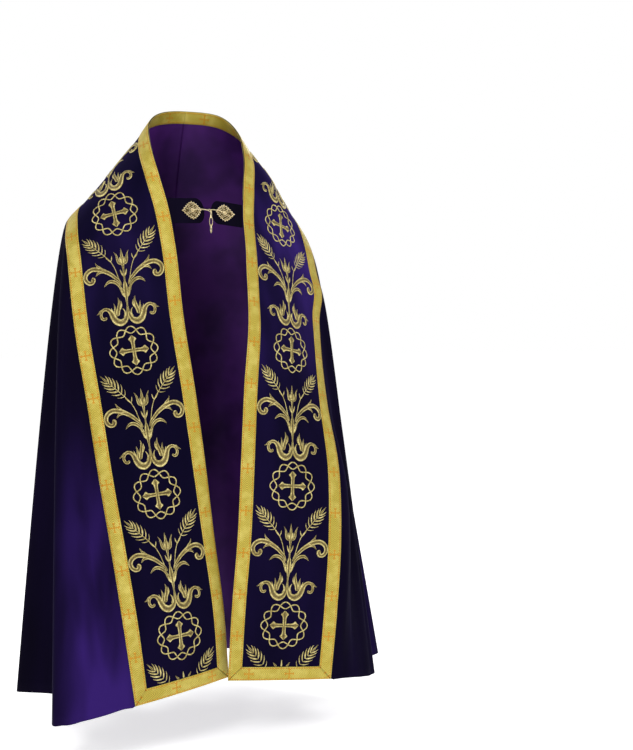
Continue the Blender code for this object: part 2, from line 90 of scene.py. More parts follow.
BAND_LEFT = np.array([
    # s      inner x    y       z       outer x    y       z      bow
    (0.000,  0.000,  0.091,  0.060,   0.000,  0.190, -0.186,  0.006),
    (0.090,  0.081,  0.053,  0.047,   0.090,  0.177, -0.190,  0.014),
    (0.180,  0.113, -0.009, -0.004,   0.176,  0.149, -0.194,  0.030),
    (0.270,  0.110, -0.065, -0.074,   0.250,  0.098, -0.203,  0.038),
    (0.360,  0.093, -0.105, -0.152,   0.298,  0.033, -0.239,  0.025),
    (0.450,  0.079, -0.140, -0.234,   0.312, -0.027, -0.301,  0.012),
    (0.540,  0.073, -0.175, -0.318,   0.312, -0.073, -0.378,  0.009),
    (0.600,  0.068, -0.194, -0.375,   0.317, -0.094, -0.432,  0.011),
    (0.660,  0.064, -0.213, -0.432,   0.301, -0.114, -0.490,  0.015),
    (0.720,  0.059, -0.231, -0.489,   0.296, -0.131, -0.545,  0.019),
    (0.900,  0.035, -0.264, -0.666,   0.286, -0.199, -0.709,  0.022),
    (1.080,  0.019, -0.284, -0.846,   0.284, -0.278, -0.870,  0.013),
    (1.260,  0.010, -0.284, -1.025,   0.272, -0.319, -1.043,  0.007),
    (1.440, -0.002, -0.274, -1.204,   0.260, -0.322, -1.222,  0.004),
    (1.620, -0.012, -0.271, -1.384,   0.251, -0.304, -1.400,  0.003),
])
# Each hem by s: a fold's crest or hollow, and how late that fold grows on the way down.
FOLDS_RIGHT = np.array([
    # s       x       y       z     late
    (0.000,  0.000,  0.215, -1.455, 3.0),
    (0.070, -0.080,  0.285, -1.460, 3.0),
    (0.120, -0.155,  0.240, -1.455, 3.0),
    (0.170, -0.250,  0.262, -1.460, 2.8),
    (0.220, -0.315,  0.160, -1.450, 2.2),
    (0.270, -0.420,  0.135, -1.455, 1.5),
    (0.320, -0.385,  0.040, -1.440, 1.3),
    (0.375, -0.480, -0.005, -1.428, 1.1),
    (0.440, -0.385, -0.105, -1.424, 1.0),
    (0.520, -0.445, -0.262, -1.440, 1.0),
    (0.600, -0.425, -0.300, -1.436, 1.0),
    (0.760, -0.382, -0.318, -1.426, 1.0),
    (1.000, -0.335, -0.322, -1.418, 1.0),
    (1.300, -0.290, -0.316, -1.411, 1.0),
])
FOLDS_LEFT = np.array([
    # s       x       y       z     late
    (0.000,  0.000,  0.215, -1.455, 3.0),
    (0.070,  0.085,  0.312, -1.462, 3.0),
    (0.125,  0.190,  0.318, -1.462, 2.8),
    (0.175,  0.275,  0.205, -1.455, 2.4),
    (0.225,  0.365,  0.200, -1.458, 1.5),
    (0.275,  0.375,  0.080, -1.448, 1.3),
    (0.335,  0.512, -0.030, -1.424, 1.1),
    (0.405,  0.405, -0.095, -1.428, 1.0),
    (0.490,  0.412, -0.215, -1.420, 1.0),
    (0.590,  0.388, -0.252, -1.418, 1.0),
    (0.760,  0.352, -0.278, -1.412, 1.0),
    (1.000,  0.316, -0.294, -1.406, 1.0),
    (1.300,  0.280, -0.304, -1.402, 1.0),
])
# The wearer's right and left: band, hem and the sign of x.
SIDES = {"right": (BAND_RIGHT, FOLDS_RIGHT, -1.0), "left": (BAND_LEFT, FOLDS_LEFT, 1.0)}

HOOD_HALF_W = 0.284
HOOD_DEPTH = 0.456
HOOD_CORNER = 0.155     # radius of the two lower corners
HOOD_MID_Z = -0.188     # height that the hood's straight lower edge is measured down from
HOOD_BRAID = 0.022      # width of the narrow galloon along the hood's edge
HOOD_TOP_BRAID = 0.029  # width of the galloon along its top
HOOD_STRIP = 0.022      # velvet that shows between its two lower galloons
# The back the hood lies on, by height: y at the middle, how round it is, and its lean to one side.
HOOD_BACK = np.array([
    # z       y     round   lean
    (-0.180, 0.199, 1.36, 0.020),
    (-0.320, 0.216, 1.03, 0.024),
    (-0.450, 0.229, 0.95, 0.032),
    (-0.600, 0.243, 0.80, 0.045),
    (-0.760, 0.254, 0.56, 0.070),
])
TAB_H = 0.065           # height of a clasp tab
TAB_S = (0.455, 0.448)  # where the tabs' middle line leaves the right and the left band
TAB_SHORT = {"right": 0.006, "left": 0.013}     # from each tab's round end to the middle
TAB_RISE = 0.007        # how far the clasp's middle stands above the line between the roots
PLATE_BACK = {"right": 0.033, "left": 0.036}    # from each tab's round end to its plate's centre
PLATE_R = 0.0225        # reach of a clasp plate from its centre
PLATE_T = 0.0015        # its thickness

# Degrees, metres and millimetres of lens; pan turns the view to the right, tilt turns it down.
CAMERA = dict(azimuth=-18.0, distance=3.45, height=-0.486, lens=62.688, pan=5.22805, tilt=2.58664)


# ---------------------------------------------------------------- camera, light, floor
def aim_camera():
    """Camera on its azimuth, looking at the neck's upright axis, then turned by pan and by tilt."""
    a = math.radians(CAMERA["azimuth"])
    place = Vector((math.sin(a), -math.cos(a), 0)) * CAMERA["distance"] + Vector((0, 0, CAMERA["height"]))
    ahead = Vector((-math.sin(a), math.cos(a), 0))
    right = Vector((math.cos(a), math.sin(a), 0))
    up = Vector((0, 0, 1))
    pan, tilt = math.radians(CAMERA["pan"]), math.radians(CAMERA["tilt"])
    ahead, right = (ahead * math.cos(pan) + right * math.sin(pan),
                    right * math.cos(pan) - ahead * math.sin(pan))
    ahead, up = (ahead * math.cos(tilt) - up * math.sin(tilt),
                 up * math.cos(tilt) + ahead * math.sin(tilt))
    turn = Matrix((right, up, -ahead)).transposed().to_4x4()
    data = bpy.data.cameras.new("camera")
    data.sensor_width = 36.0
    data.lens = CAMERA["lens"]
    data.clip_end = 60.0
    cam = bpy.data.objects.new("camera", data)
    cam.matrix_world = Matrix.Translation(place) @ turn
    bpy.context.scene.collection.objects.link(cam)
    bpy.context.scene.camera = cam


LIGHTS = [
    # name         x      y      z     size   power  aim z
    ("key_left",  -2.0,  -3.0,   1.3,   1.2,    66,  -0.8),
    ("fill_right", 2.7,  -2.2,   1.5,   1.8,    36,  -0.6),
    ("top",        0.2,   0.1,   2.4,   1.6,    20,  -0.4),
    ("back_left", -2.2,   2.8,   1.1,   1.6,    26,  -0.7),
    ("back_right", 2.2,   3.0,   1.1,   1.6,    26,  -0.7),
]
AMBIENT = 0.42          # strength of the surround as a light


def light_studio():
    """Soft lamps round the cope and an even pale surround, white where it is seen directly."""
    for name, x, y, z, size, power, aim in LIGHTS:
        data = bpy.data.lights.new(name, "AREA")
        data.shape = "DISK"
        data.size = size
        data.energy = power
        lamp = bpy.data.objects.new(name, data)
        lamp.location = (x, y, z)
        lamp.rotation_euler = (Vector((0, 0, aim)) - Vector((x, y, z))).to_track_quat("-Z", "Y").to_euler()
        bpy.context.scene.collection.objects.link(lamp)
    world = bpy.data.worlds.new("studio")
    world.use_nodes = True
    tree = world.node_tree
    tree.nodes["Background"].inputs["Color"].default_value = (1, 1, 1, 1)
    seen = tree.nodes.new("ShaderNodeMapRange")
    seen.inputs["To Min"].default_value = AMBIENT
    tree.links.new(tree.nodes.new("ShaderNodeLightPath").outputs["Is Camera Ray"], seen.inputs["Value"])
    tree.links.new(seen.outputs["Result"], tree.nodes["Background"].inputs["Strength"])
    bpy.context.scene.world = world
    bpy.context.scene.view_settings.view_transform = "Standard"


# ---------------------------------------------------------------- shape functions
def smooth_rows(table, x, seam=False):
    """Cubic Hermite curve through the table's rows, read at x; with seam, it leaves x = 0 squarely."""
    t = table[:, 0]
    v = table[:, 1:]
    slope = np.gradient(v, t, axis=0)
    if seam:
        slope[0] *= np.where(v[0] == 0.0, 1.0, 0.0)
    x = np.atleast_1d(np.asarray(x, float))
    k = np.clip(np.searchsorted(t, x, side="right") - 1, 0, len(t) - 2)
    h = (t[k + 1] - t[k])[:, None]
    u = ((x - t[k])[:, None]) / h
    return ((2 * u**3 - 3 * u**2 + 1) * v[k] + (u**3 - 2 * u**2 + u) * h * slope[k]
            + (3 * u**2 - 2 * u**3) * v[k + 1] + (u**3 - u**2) * h * slope[k + 1])


def unit(v):
    """Vectors divided by their length."""
    return v / np.maximum(np.linalg.norm(v, axis=-1, keepdims=True), 1e-12)


def cross_point(side, s, v):
    """Outer face of a band: straight line between its two edges plus a parabola bowed outward."""
    s, v = np.broadcast_arrays(np.atleast_1d(np.asarray(s, float)), np.asarray(v, float))
    row = smooth_rows(SIDES[side][0], s.ravel(), seam=True)
    t = (v.ravel() / BAND_W)[:, None]
    inner, outer, bow = row[:, 0:3], row[:, 3:6], row[:, 6:7]
    near = smooth_rows(SIDES[side][0], np.clip(s.ravel() + 0.01, 0, BAND_L), seam=True)
    far = smooth_rows(SIDES[side][0], np.clip(s.ravel() - 0.01, 0, BAND_L), seam=True)
    along = (near - far)[:, 0:3] + (near - far)[:, 3:6]
    out = unit(np.cross(outer - inner, along)) * -SIDES[side][2]
    out[s.ravel() < 1e-6, 0] = 0.0
    p = (1 - t) * inner + t * outer + 4 * t * (1 - t) * bow * unit(out)
    return p.reshape(s.shape + (3,))


def band_frame(side, s, v):
    """Point, outward normal and across direction of a band, by small differences."""
    s = np.atleast_1d(np.asarray(s, float))
    d = 0.002
    p = cross_point(side, s, v)
    ds = cross_point(side, np.clip(s + d, 0, BAND_L), v) - cross_point(side, np.clip(s - d, 0, BAND_L), v)
    dv = cross_point(side, s, np.asarray(v) + d) - cross_point(side, s, np.asarray(v) - d)
    n = unit(np.cross(dv, ds)) * -SIDES[side][2]
    seam = np.broadcast_to(s, p.shape[:-1]) < 1e-6
    n[seam, 0] = 0.0
    return p, unit(n), unit(dv)


def band_lift(side, s, v, lift):
    """Points of a band at s and v, moved out by lift."""
    p, n, _ = band_frame(side, s, v)
    return p + n * np.asarray(lift)[..., None]


def grid_normals(p):
    """Normals of a grid of points: the cross product of its steps down and across."""
    return unit(np.cross(np.gradient(p, axis=0), np.gradient(p, axis=1)))


# ---------------------------------------------------------------- mesh making
def new_object(name, verts, faces, uv=None):
    """Mesh object from points and faces, turned to face outward by the sign of its volume.

    uv is one pair of numbers a point.
    """
    verts = np.asarray(verts, float)
    faces = np.asarray(faces)
    a, b, c = verts[faces[:, 0]], verts[faces[:, 1]], verts[faces[:, 2]]
    volume = (a * np.cross(b, c)).sum()
    if faces.shape[1] == 4:
        d = verts[faces[:, 3]]
        volume += (a * np.cross(c, d)).sum()
    if volume < 0:
        faces = faces[:, ::-1]
    n, k = faces.shape
    mesh = bpy.data.meshes.new(name)
    mesh.vertices.add(len(verts))
    mesh.vertices.foreach_set("co", verts.ravel())
    mesh.loops.add(n * k)
    mesh.loops.foreach_set("vertex_index", faces.ravel().astype(np.int32))
    mesh.polygons.add(n)
    mesh.polygons.foreach_set("loop_start", np.arange(0, n * k, k, dtype=np.int32))
    mesh.polygons.foreach_set("use_smooth", np.full(n, True))
    mesh.update(calc_edges=True)
    if uv is not None:
        layer = mesh.uv_layers.new(name="UVMap")
        layer.data.foreach_set("uv", np.asarray(uv, float)[faces.ravel()].ravel())
    obj = bpy.data.objects.new(name, mesh)
    bpy.context.scene.collection.objects.link(obj)
    return obj


def shell_faces(r, c):
    """Faces of a closed shell: a grid of r rows and c columns, its copy, and the rim between."""
    a = np.arange(r * c).reshape(r, c)
    b = a + r * c
    top = np.stack([a[:-1, :-1], a[1:, :-1], a[1:, 1:], a[:-1, 1:]], -1).reshape(-1, 4)
    low = np.stack([b[:-1, :-1], b[:-1, 1:], b[1:, 1:], b[1:, :-1]], -1).reshape(-1, 4)
    ring = np.concatenate([a[0, :-1], a[:-1, -1], a[-1, :0:-1], a[:0:-1, 0]])
    nxt = np.roll(ring, -1)
    rim = np.stack([ring, nxt, nxt + r * c, ring + r * c], -1)
    return top, low, rim


def shell(name, outer, inner, uv, materials, inner_slot=0):
    """Closed cloth shell between two grids of points; the inner face may have its own material."""
    r, c = outer.shape[:2]
    top, low, rim = shell_faces(r, c)
    verts = np.concatenate([outer.reshape(-1, 3), inner.reshape(-1, 3)])
    uv2 = np.concatenate([uv.reshape(-1, 2)] * 2)
    obj = new_object(name, verts, np.concatenate([top, low, rim]), uv2)
    for m in materials:
        obj.data.materials.append(m)
    index = np.zeros(len(obj.data.polygons), np.int32)
    index[len(top):len(top) + len(low)] = inner_slot
    obj.data.polygons.foreach_set("material_index", index)
    return obj


def settle(obj, node, body=GARMENT):
    """Gives a piece its body, the CAD node it stands for, if any."""
    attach(obj, body)
    if node:
        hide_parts(node)
    return obj


# ---------------------------------------------------------------- materials
class Nodes:
    """Short way to build a node tree: each call adds one node and returns its output."""

    def __init__(self, name):
        """Starts a material that has only its shader."""
        self.mat = bpy.data.materials.new(name)
        self.mat.use_nodes = True
        self.tree = self.mat.node_tree
        self.shader = self.tree.nodes["Principled BSDF"]

    def add(self, kind, inputs=(), out=0, **settings):
        """One node: inputs are numbers to set or outputs to link, settings are its own fields."""
        node = self.tree.nodes.new(kind)
        for key, value in settings.items():
            setattr(node, key, value)
        for key, value in dict(inputs).items():
            if isinstance(value, bpy.types.NodeSocket):
                self.tree.links.new(value, node.inputs[key])
            else:
                node.inputs[key].default_value = value
        return node.outputs[out]

    def math(self, operation, a, b=0.0):
        """One operation on two numbers or outputs."""
        return self.add("ShaderNodeMath", {0: a, 1: b}, operation=operation)

    def mix(self, factor, a, b):
        """Colour a where factor is 0, and b where it is 1."""
        return self.add("ShaderNodeMix", {0: factor, 6: a, 7: b}, out=2, data_type="RGBA")

    def ramp(self, value, low, high):
        """0 below low, 1 above high, and a smooth step between them."""
        return self.add("ShaderNodeMapRange", {0: value, 1: low, 2: high, 3: 0.0, 4: 1.0},
                        interpolation_type="SMOOTHSTEP")

    def noise(self, vector, scale, detail=3.0, rough=0.55):
        """Cloudy pattern; a larger scale makes finer clouds."""
        return self.add("ShaderNodeTexNoise", {"Vector": vector, "Scale": scale, "Detail": detail,
                                               "Roughness": rough})

    def place(self):
        """Object coordinates, which are metres in the part's own frame."""
        return self.add("ShaderNodeTexCoord", out=3)

    def uv(self):
        """The piece's own UV map, as u and v."""
        split = self.tree.nodes.new("ShaderNodeSeparateXYZ")
        self.tree.links.new(self.add("ShaderNodeUVMap"), split.inputs[0])
        return split.outputs[0], split.outputs[1]

    def bump(self, height, strength, distance):
        """Fine relief of a height."""
        return self.add("ShaderNodeBump", {"Height": height, "Strength": strength, "Distance": distance})

    def set(self, **values):
        """Sets or links the shader's sockets, with _ for a space in their names; gives the material."""
        for key, value in values.items():
            socket = self.shader.inputs[key.replace("_", " ")]
            if isinstance(value, bpy.types.NodeSocket):
                self.tree.links.new(value, socket)
            else:
                socket.default_value = value
        return self.mat


def rgb(r, g, b):
    """Linear colour of an sRGB colour given as 0 to 255."""
    c = np.array([r, g, b]) / 255.0
    return (*np.where(c <= 0.04045, c / 12.92, ((c + 0.055) / 1.055) ** 2.4), 1.0)


def velvet_material(name, deep, bright, sheen_colour, sheen, panel=None):
    """Velvet: pile leaning in soft patches, fine pile grain, a soft sheen at the edges of folds, and painted
    light where a panel is given.

    A panel (windows, share, dim, full) paints light: in windows (low, high) of the piece's UV u the colour is
    painted lit, more and more so from depth dim to depth full under the neck; elsewhere only that share of
    the patches is left.
    """
    n = Nodes(name)
    place = n.place()
    patch = n.noise(n.add("ShaderNodeMapping", {"Vector": place, "Scale": (5.0, 5.0, 1.4)}), 1.0, 2.0)
    streak = n.noise(n.add("ShaderNodeMapping", {"Vector": place, "Scale": (13.0, 13.0, 2.0)}), 1.0, 2.0)
    lean = n.math("ADD", n.math("MULTIPLY", patch, 0.65), n.math("MULTIPLY", streak, 0.35))
    lean = n.ramp(lean, 0.36, 0.68)
    # Painted light: the panel's windows are painted lit, growing with depth under the neck, and fading with
    # depth where dim is deeper than full.
    if panel:
        windows, share, dim, full = panel
        height = n.add("ShaderNodeSeparateXYZ", {0: place}, out=2)
        u = n.uv()[0]
        inside = 0.0
        for low, high in windows:
            inside = n.math("MAXIMUM", inside, n.math("MULTIPLY", n.ramp(u, low, low + 0.36), n.math(
                "SUBTRACT", 1.0, n.ramp(u, high - 0.30, high + 0.10))))
        depth = n.math("MULTIPLY", height, -1.0)
        down = n.ramp(depth, min(dim, full), max(dim, full))
        if dim > full:
            down = n.math("SUBTRACT", 1.0, down)
        # Painted light: turned breaks the painted lit colour up by the pile patches, lit is its share, and
        # lean then holds the pile patches and this painted light together.
        turned = n.math("ADD", 0.14, n.math("MULTIPLY", lean, 1.2))
        lit = n.math("MULTIPLY", inside, n.math("MULTIPLY", down, turned))
        lean = n.math("ADD", lit, n.math("MULTIPLY", lean, share))
    grain = n.noise(place, 1400.0, 2.0, 0.7)
    # Colour from deep to bright by the pile patches and the painted light.
    colour = n.mix(n.math("MULTIPLY", lean, 0.85), deep, bright)
    colour = n.mix(n.math("MULTIPLY", grain, 0.05), colour, bright)
    bump = n.bump(n.math("ADD", grain, n.math("MULTIPLY", patch, 0.6)), 0.18, 0.0006)
    mat = n.set(Base_Color=colour, Roughness=0.85, Normal=bump)
    n.set(Sheen_Weight=sheen, Sheen_Roughness=0.38, Sheen_Tint=sheen_colour, Specular_IOR_Level=0.03)
    return mat


def braid_material(name, length_step=0.104, width=BRAID_W, cross=0.0105):
    """Woven gold galloon: slanting ribs that meet at its middle, a line of orange stitches inside each
    edge, and an orange cross each length_step.

    Reads the piece's UV: u along the braid in metres, v across it in metres from one edge. A rib is the
    sine of u plus or minus a share of the distance from the middle. A cross has arms cross long, each
    with a short bar over its end.
    """
    rib_pitch, float_pitch, weft_pitch = 0.0046, 0.0052, 0.0012
    stitch_inset, stitch_half, stitch_step = 0.0034, 0.00135, 0.0068
    n = Nodes(name)
    u, v = n.uv()
    mid = n.math("ABSOLUTE", n.math("SUBTRACT", v, width / 2))
    rib = n.math("SINE", n.math("MULTIPLY", n.math("ADD", u, mid), 2 * math.pi / rib_pitch))
    floats = n.math("SINE", n.math("MULTIPLY", n.math("SUBTRACT", u, n.math("MULTIPLY", mid, 1.6)),
                                   2 * math.pi / float_pitch))
    weft = n.math("SINE", n.math("MULTIPLY", n.math("SUBTRACT", u, n.math("MULTIPLY", mid, 0.6)),
                                 2 * math.pi / weft_pitch))
    weave = n.math("ADD", n.math("MULTIPLY", rib, 0.6), n.math("MULTIPLY", floats, 0.4))
    edge = n.math("ABSOLUTE", n.math("SUBTRACT", mid, width / 2 - stitch_inset))
    dash = n.math("GREATER_THAN", n.math("FRACT", n.math("DIVIDE", u, stitch_step)), 0.36)
    stitch = n.math("MULTIPLY", n.math("LESS_THAN", edge, stitch_half), dash)
    local = n.math("ABSOLUTE", n.math("SUBTRACT", n.math("MULTIPLY", n.math("FRACT", n.math(
        "DIVIDE", u, length_step)), length_step), length_step / 2))
    arm, foot_half = 0.00145, 0.0034
    bars = []
    for along, across in ((local, mid), (mid, local)):
        bars.append(n.math("MULTIPLY", n.math("LESS_THAN", along, arm), n.math("LESS_THAN", across, cross)))
        foot = n.math("LESS_THAN", n.math("ABSOLUTE", n.math("SUBTRACT", across, cross)), arm)
        bars.append(n.math("MULTIPLY", foot, n.math("LESS_THAN", along, foot_half)))
    figure = bars[0]
    for bar in bars[1:]:
        figure = n.math("MAXIMUM", figure, bar)
    mark = n.math("MAXIMUM", stitch, figure)
    # Painted sheen: the worn noise gives cloudy patches of pale gold, a painted highlight mixed into the
    # weave.
    worn = n.noise(n.place(), 34.0, 4.0)
    base = n.mix(n.ramp(weave, -0.8, 0.8), rgb(116, 96, 16), rgb(216, 196, 72))
    base = n.mix(n.math("MULTIPLY", n.ramp(worn, 0.40, 0.72), 0.28), base, rgb(240, 228, 132))
    colour = n.mix(stitch, n.mix(figure, base, rgb(190, 132, 0)), rgb(184, 120, 0))
    height = n.math("ADD", n.math("MULTIPLY", weave, 0.8), n.math("MULTIPLY", weft, 0.2))
    height = n.math("ADD", height, n.math("MULTIPLY", mark, 0.4))
    n.set(Base_Color=colour, Roughness=0.40, Metallic=0.35, Normal=n.bump(height, 0.7, 0.0004))
    return n.set(Sheen_Weight=0.05, Sheen_Roughness=0.4, Sheen_Tint=rgb(255, 236, 150))


def thread_material(name, dark, middle, light, painted_shade_colour, metallic=0.40, pitch=0.0011, rough=0.36):
    """Satin stitch in metallic thread: bright corded rims, a duller slanting filling, painted glints, and
    painted shade along the edges and in the furrow.

    Reads the piece's UV: u along the stroke in metres, v across it from -1 to 1, plus 4 where it is
    split; a split stroke has a filling between its rims and a furrow darkened with painted shade, a thin one
    is all rim.
    """
    n = Nodes(name)
    u, v = n.uv()
    split = n.math("GREATER_THAN", v, 2.0)
    side = n.math("ABSOLUTE", n.math("SUBTRACT", v, n.math("MULTIPLY", split, 4.0)))
    lay = n.math("SUBTRACT", u, n.math("MULTIPLY", side, 0.0026))
    thread = n.math("SINE", n.math("MULTIPLY", lay, 2 * math.pi / pitch))
    # Painted highlight: gleam, made of a fine and a broad noise, paints glints on the filling and the rims.
    fine = n.noise(n.place(), 260.0, 3.0)
    broad = n.noise(n.place(), 62.0, 2.0)
    gleam = n.math("ADD", n.math("MULTIPLY", n.ramp(fine, 0.40, 0.60), 0.6),
                   n.math("MULTIPLY", n.ramp(broad, 0.40, 0.62), 0.4))
    filling = n.mix(n.math("ADD", n.math("MULTIPLY", n.ramp(thread, -1.0, 1.0), 0.45),
                           n.math("MULTIPLY", gleam, 0.55)), dark, middle)
    rims = n.mix(gleam, middle, light)
    rim = n.math("MAXIMUM", n.ramp(side, 0.42, 0.60), n.math("SUBTRACT", 1.0, split))
    colour = n.mix(rim, filling, rims)
    # Painted shade: the middle of a split stroke's furrow and the edges of every stroke take the shade
    # colour.
    painted_furrow_shade = n.math("MULTIPLY", split, n.math("SUBTRACT", 1.0, n.ramp(side, 0.02, 0.16)))
    edge = n.math("MULTIPLY", n.ramp(side, 0.86, 1.0), 0.85)
    shade = n.math("MAXIMUM", edge, n.math("MULTIPLY", painted_furrow_shade, 0.8))
    n.set(Base_Color=n.mix(shade, colour, painted_shade_colour), Roughness=rough, Metallic=metallic,
          Normal=n.bump(thread, 0.6, 0.0003))
    return n.set(Sheen_Weight=0.05, Sheen_Roughness=0.4)


def cord_material(name, dark, light, pitch, rough=0.45):
    """Twisted yarn: light and dark stripes winding round it, soft cloudy tone, and painted shade darkening
    the row behind.

    Reads the piece's UV: u along the yarn in metres, v round it in turns, plus 2 for the row behind.
    """
    n = Nodes(name)
    u, v = n.uv()
    behind = n.math("GREATER_THAN", v, 1.5)
    wind = n.math("SINE", n.math("MULTIPLY", n.math("ADD", n.math("DIVIDE", u, pitch), v), 2 * math.pi))
    tone = n.noise(n.place(), 150.0, 3.0)
    mix = n.math("ADD", n.math("MULTIPLY", n.ramp(wind, -1.0, 0.8), 0.6),
                 n.math("MULTIPLY", n.ramp(tone, 0.34, 0.66), 0.4))
    # Painted shade: the row behind is darkened.
    mix = n.math("MULTIPLY", mix, n.math("SUBTRACT", 1.0, n.math("MULTIPLY", behind, 0.72)))
    return n.set(Base_Color=n.mix(mix, dark, light), Roughness=rough, Metallic=0.30,
                 Normal=n.bump(wind, 0.8, 0.0005))


def satin_material(name, colour, dark):
    """Lining: smooth satin with a fine diagonal twill and soft clouding."""
    n = Nodes(name)
    place = n.place()
    twill = n.add("ShaderNodeTexWave", {"Vector": n.add("ShaderNodeMapping", {
        "Vector": place, "Rotation": (0.0, 0.7, 0.0)}), "Scale": 420.0, "Distortion": 0.4}, out=1)
    cloud = n.noise(place, 6.0, 3.0)
    tone = n.mix(n.ramp(cloud, 0.3, 0.7), dark, colour)
    n.set(Base_Color=tone, Roughness=0.55, Specular_IOR_Level=0.12, Normal=n.bump(twill, 0.15, 0.0002))
    return n.set(Sheen_Weight=0.04, Sheen_Roughness=0.35, Sheen_Tint=rgb(120, 60, 170))


def metal_material(name, low, high, rough):
    """Pale gold plate over a cast base: bright, with faint darker clouding and fine casting marks."""
    n = Nodes(name)
    place = n.place()
    wear = n.noise(place, 420.0, 4.0)
    pits = n.noise(place, 1500.0, 2.0)
    colour = n.mix(n.ramp(wear, 0.35, 0.7), low, high)
    return n.set(Base_Color=colour, Metallic=1.0, Roughness=rough, Normal=n.bump(pits, 0.25, 0.0002))


PILE = rgb(96, 64, 190)
# Body velvet, painted light: the right side's panel paints the front lit, and both sides' panels paint the
# back near the seam lit, growing towards the hem.
MAT_VELVET = {
    "right": velvet_material("purple_velvet_right", rgb(4, 3, 10), rgb(48, 27, 98), PILE, 0.03,
                             ([(0.46, 2.20), (-0.50, 0.27)], 0.07, 0.66, 1.20)),
    "left": velvet_material("purple_velvet_left", rgb(4, 3, 11), rgb(50, 29, 103), PILE, 0.04,
                            ([(-0.50, 0.42)], 0.09, 0.60, 1.10)),
}
# Band velvet, painted light and shade: the right band is a darker, shaded copy and the left a lighter, lit
# copy; each band's panel paints it lit high up, fading down. The hood's velvet has none of this.
MAT_BAND = {
    "right": velvet_material("band_velvet_right", rgb(6, 4, 25), rgb(26, 16, 58), PILE, 0.12,
                             ([(0.20, 0.90)], 0.30, 0.80, 0.15)),
    "left": velvet_material("band_velvet_left", rgb(6, 4, 23), rgb(58, 37, 118), PILE, 0.18,
                            ([(0.25, 1.20)], 0.09, 0.72, 0.20)),
    "hood": velvet_material("hood_velvet", rgb(8, 4, 23), rgb(32, 19, 68), PILE, 0.24),
}
MAT_LINING = satin_material("purple_lining", rgb(70, 28, 102), rgb(42, 16, 66))
MAT_BRAID = braid_material("gold_galloon")
# The thread's last colour is its painted shade, for the edges and furrows of the strokes.
MAT_THREAD = thread_material("champagne_gold_thread", rgb(74, 58, 24), rgb(168, 149, 80), rgb(238, 223, 152),
                             rgb(40, 30, 22))
MAT_METAL = metal_material("pale_gold_filigree", rgb(204, 180, 122), rgb(255, 244, 208), 0.28)
# Painted shade: a dark metal for the plate under the filigree, standing for the shade between its wires.
MAT_FILIGREE_PAINTED_SHADE = metal_material("filigree_painted_shade", rgb(58, 46, 28), rgb(120, 102, 64), 0.45)
MAT_BRAID_NARROW = braid_material("gold_galloon_narrow", width=HOOD_BRAID, length_step=0.096, cross=0.0048)
MAT_BRAID_TOP = braid_material("gold_galloon_hood_top", width=HOOD_TOP_BRAID, cross=0.0075)
MAT_FRINGE = cord_material("tan_gold_fringe", rgb(72, 46, 18), rgb(222, 180, 110), 0.0038)
MAT_HEADER = cord_material("tan_gold_header", rgb(82, 54, 24), rgb(160, 122, 72), 0.0016)
MAT_TAB = velvet_material("tab_velvet", rgb(6, 4, 14), rgb(14, 9, 30), rgb(70, 50, 150), 0.08)

aim_camera()
light_studio()

FLOOR_HALF, FLOOR_Z = 30.0, -1.56
corners = [(x * FLOOR_HALF, y * FLOOR_HALF, FLOOR_Z) for x, y in ((-1, -1), (1, -1), (1, 1), (-1, 1))]
floor = new_object("floor", corners, [[0, 1, 2, 3]])
floor.data.materials.append(Nodes("pale_floor").set(
    Base_Color=rgb(250, 250, 250), Roughness=1.0, Specular_IOR_Level=0.0, Emission_Color=(1, 1, 1, 1),
    Emission_Strength=0.64))


# ---------------------------------------------------------------- velvet body
# Columns along the band, closer where the folds are, and rows down to the hem.
BODY_S = np.concatenate([np.linspace(0.0, 0.56, 141)[:-1], np.linspace(0.56, BAND_L, 111)])
BODY_ROWS = 96
HEM_BLUR = 0.075        # width of the Gaussian that takes the folds out of the plain hem
# How far the velvet leaves the band in its own plane before it falls, by s.
LEAVE_S = [0.0, 0.22, 0.34, 0.60, 1.05, 1.30, 1.62]
LEAVE = [0.085, 0.055, 0.018, 0.026, 0.044, 0.030, 0.004]


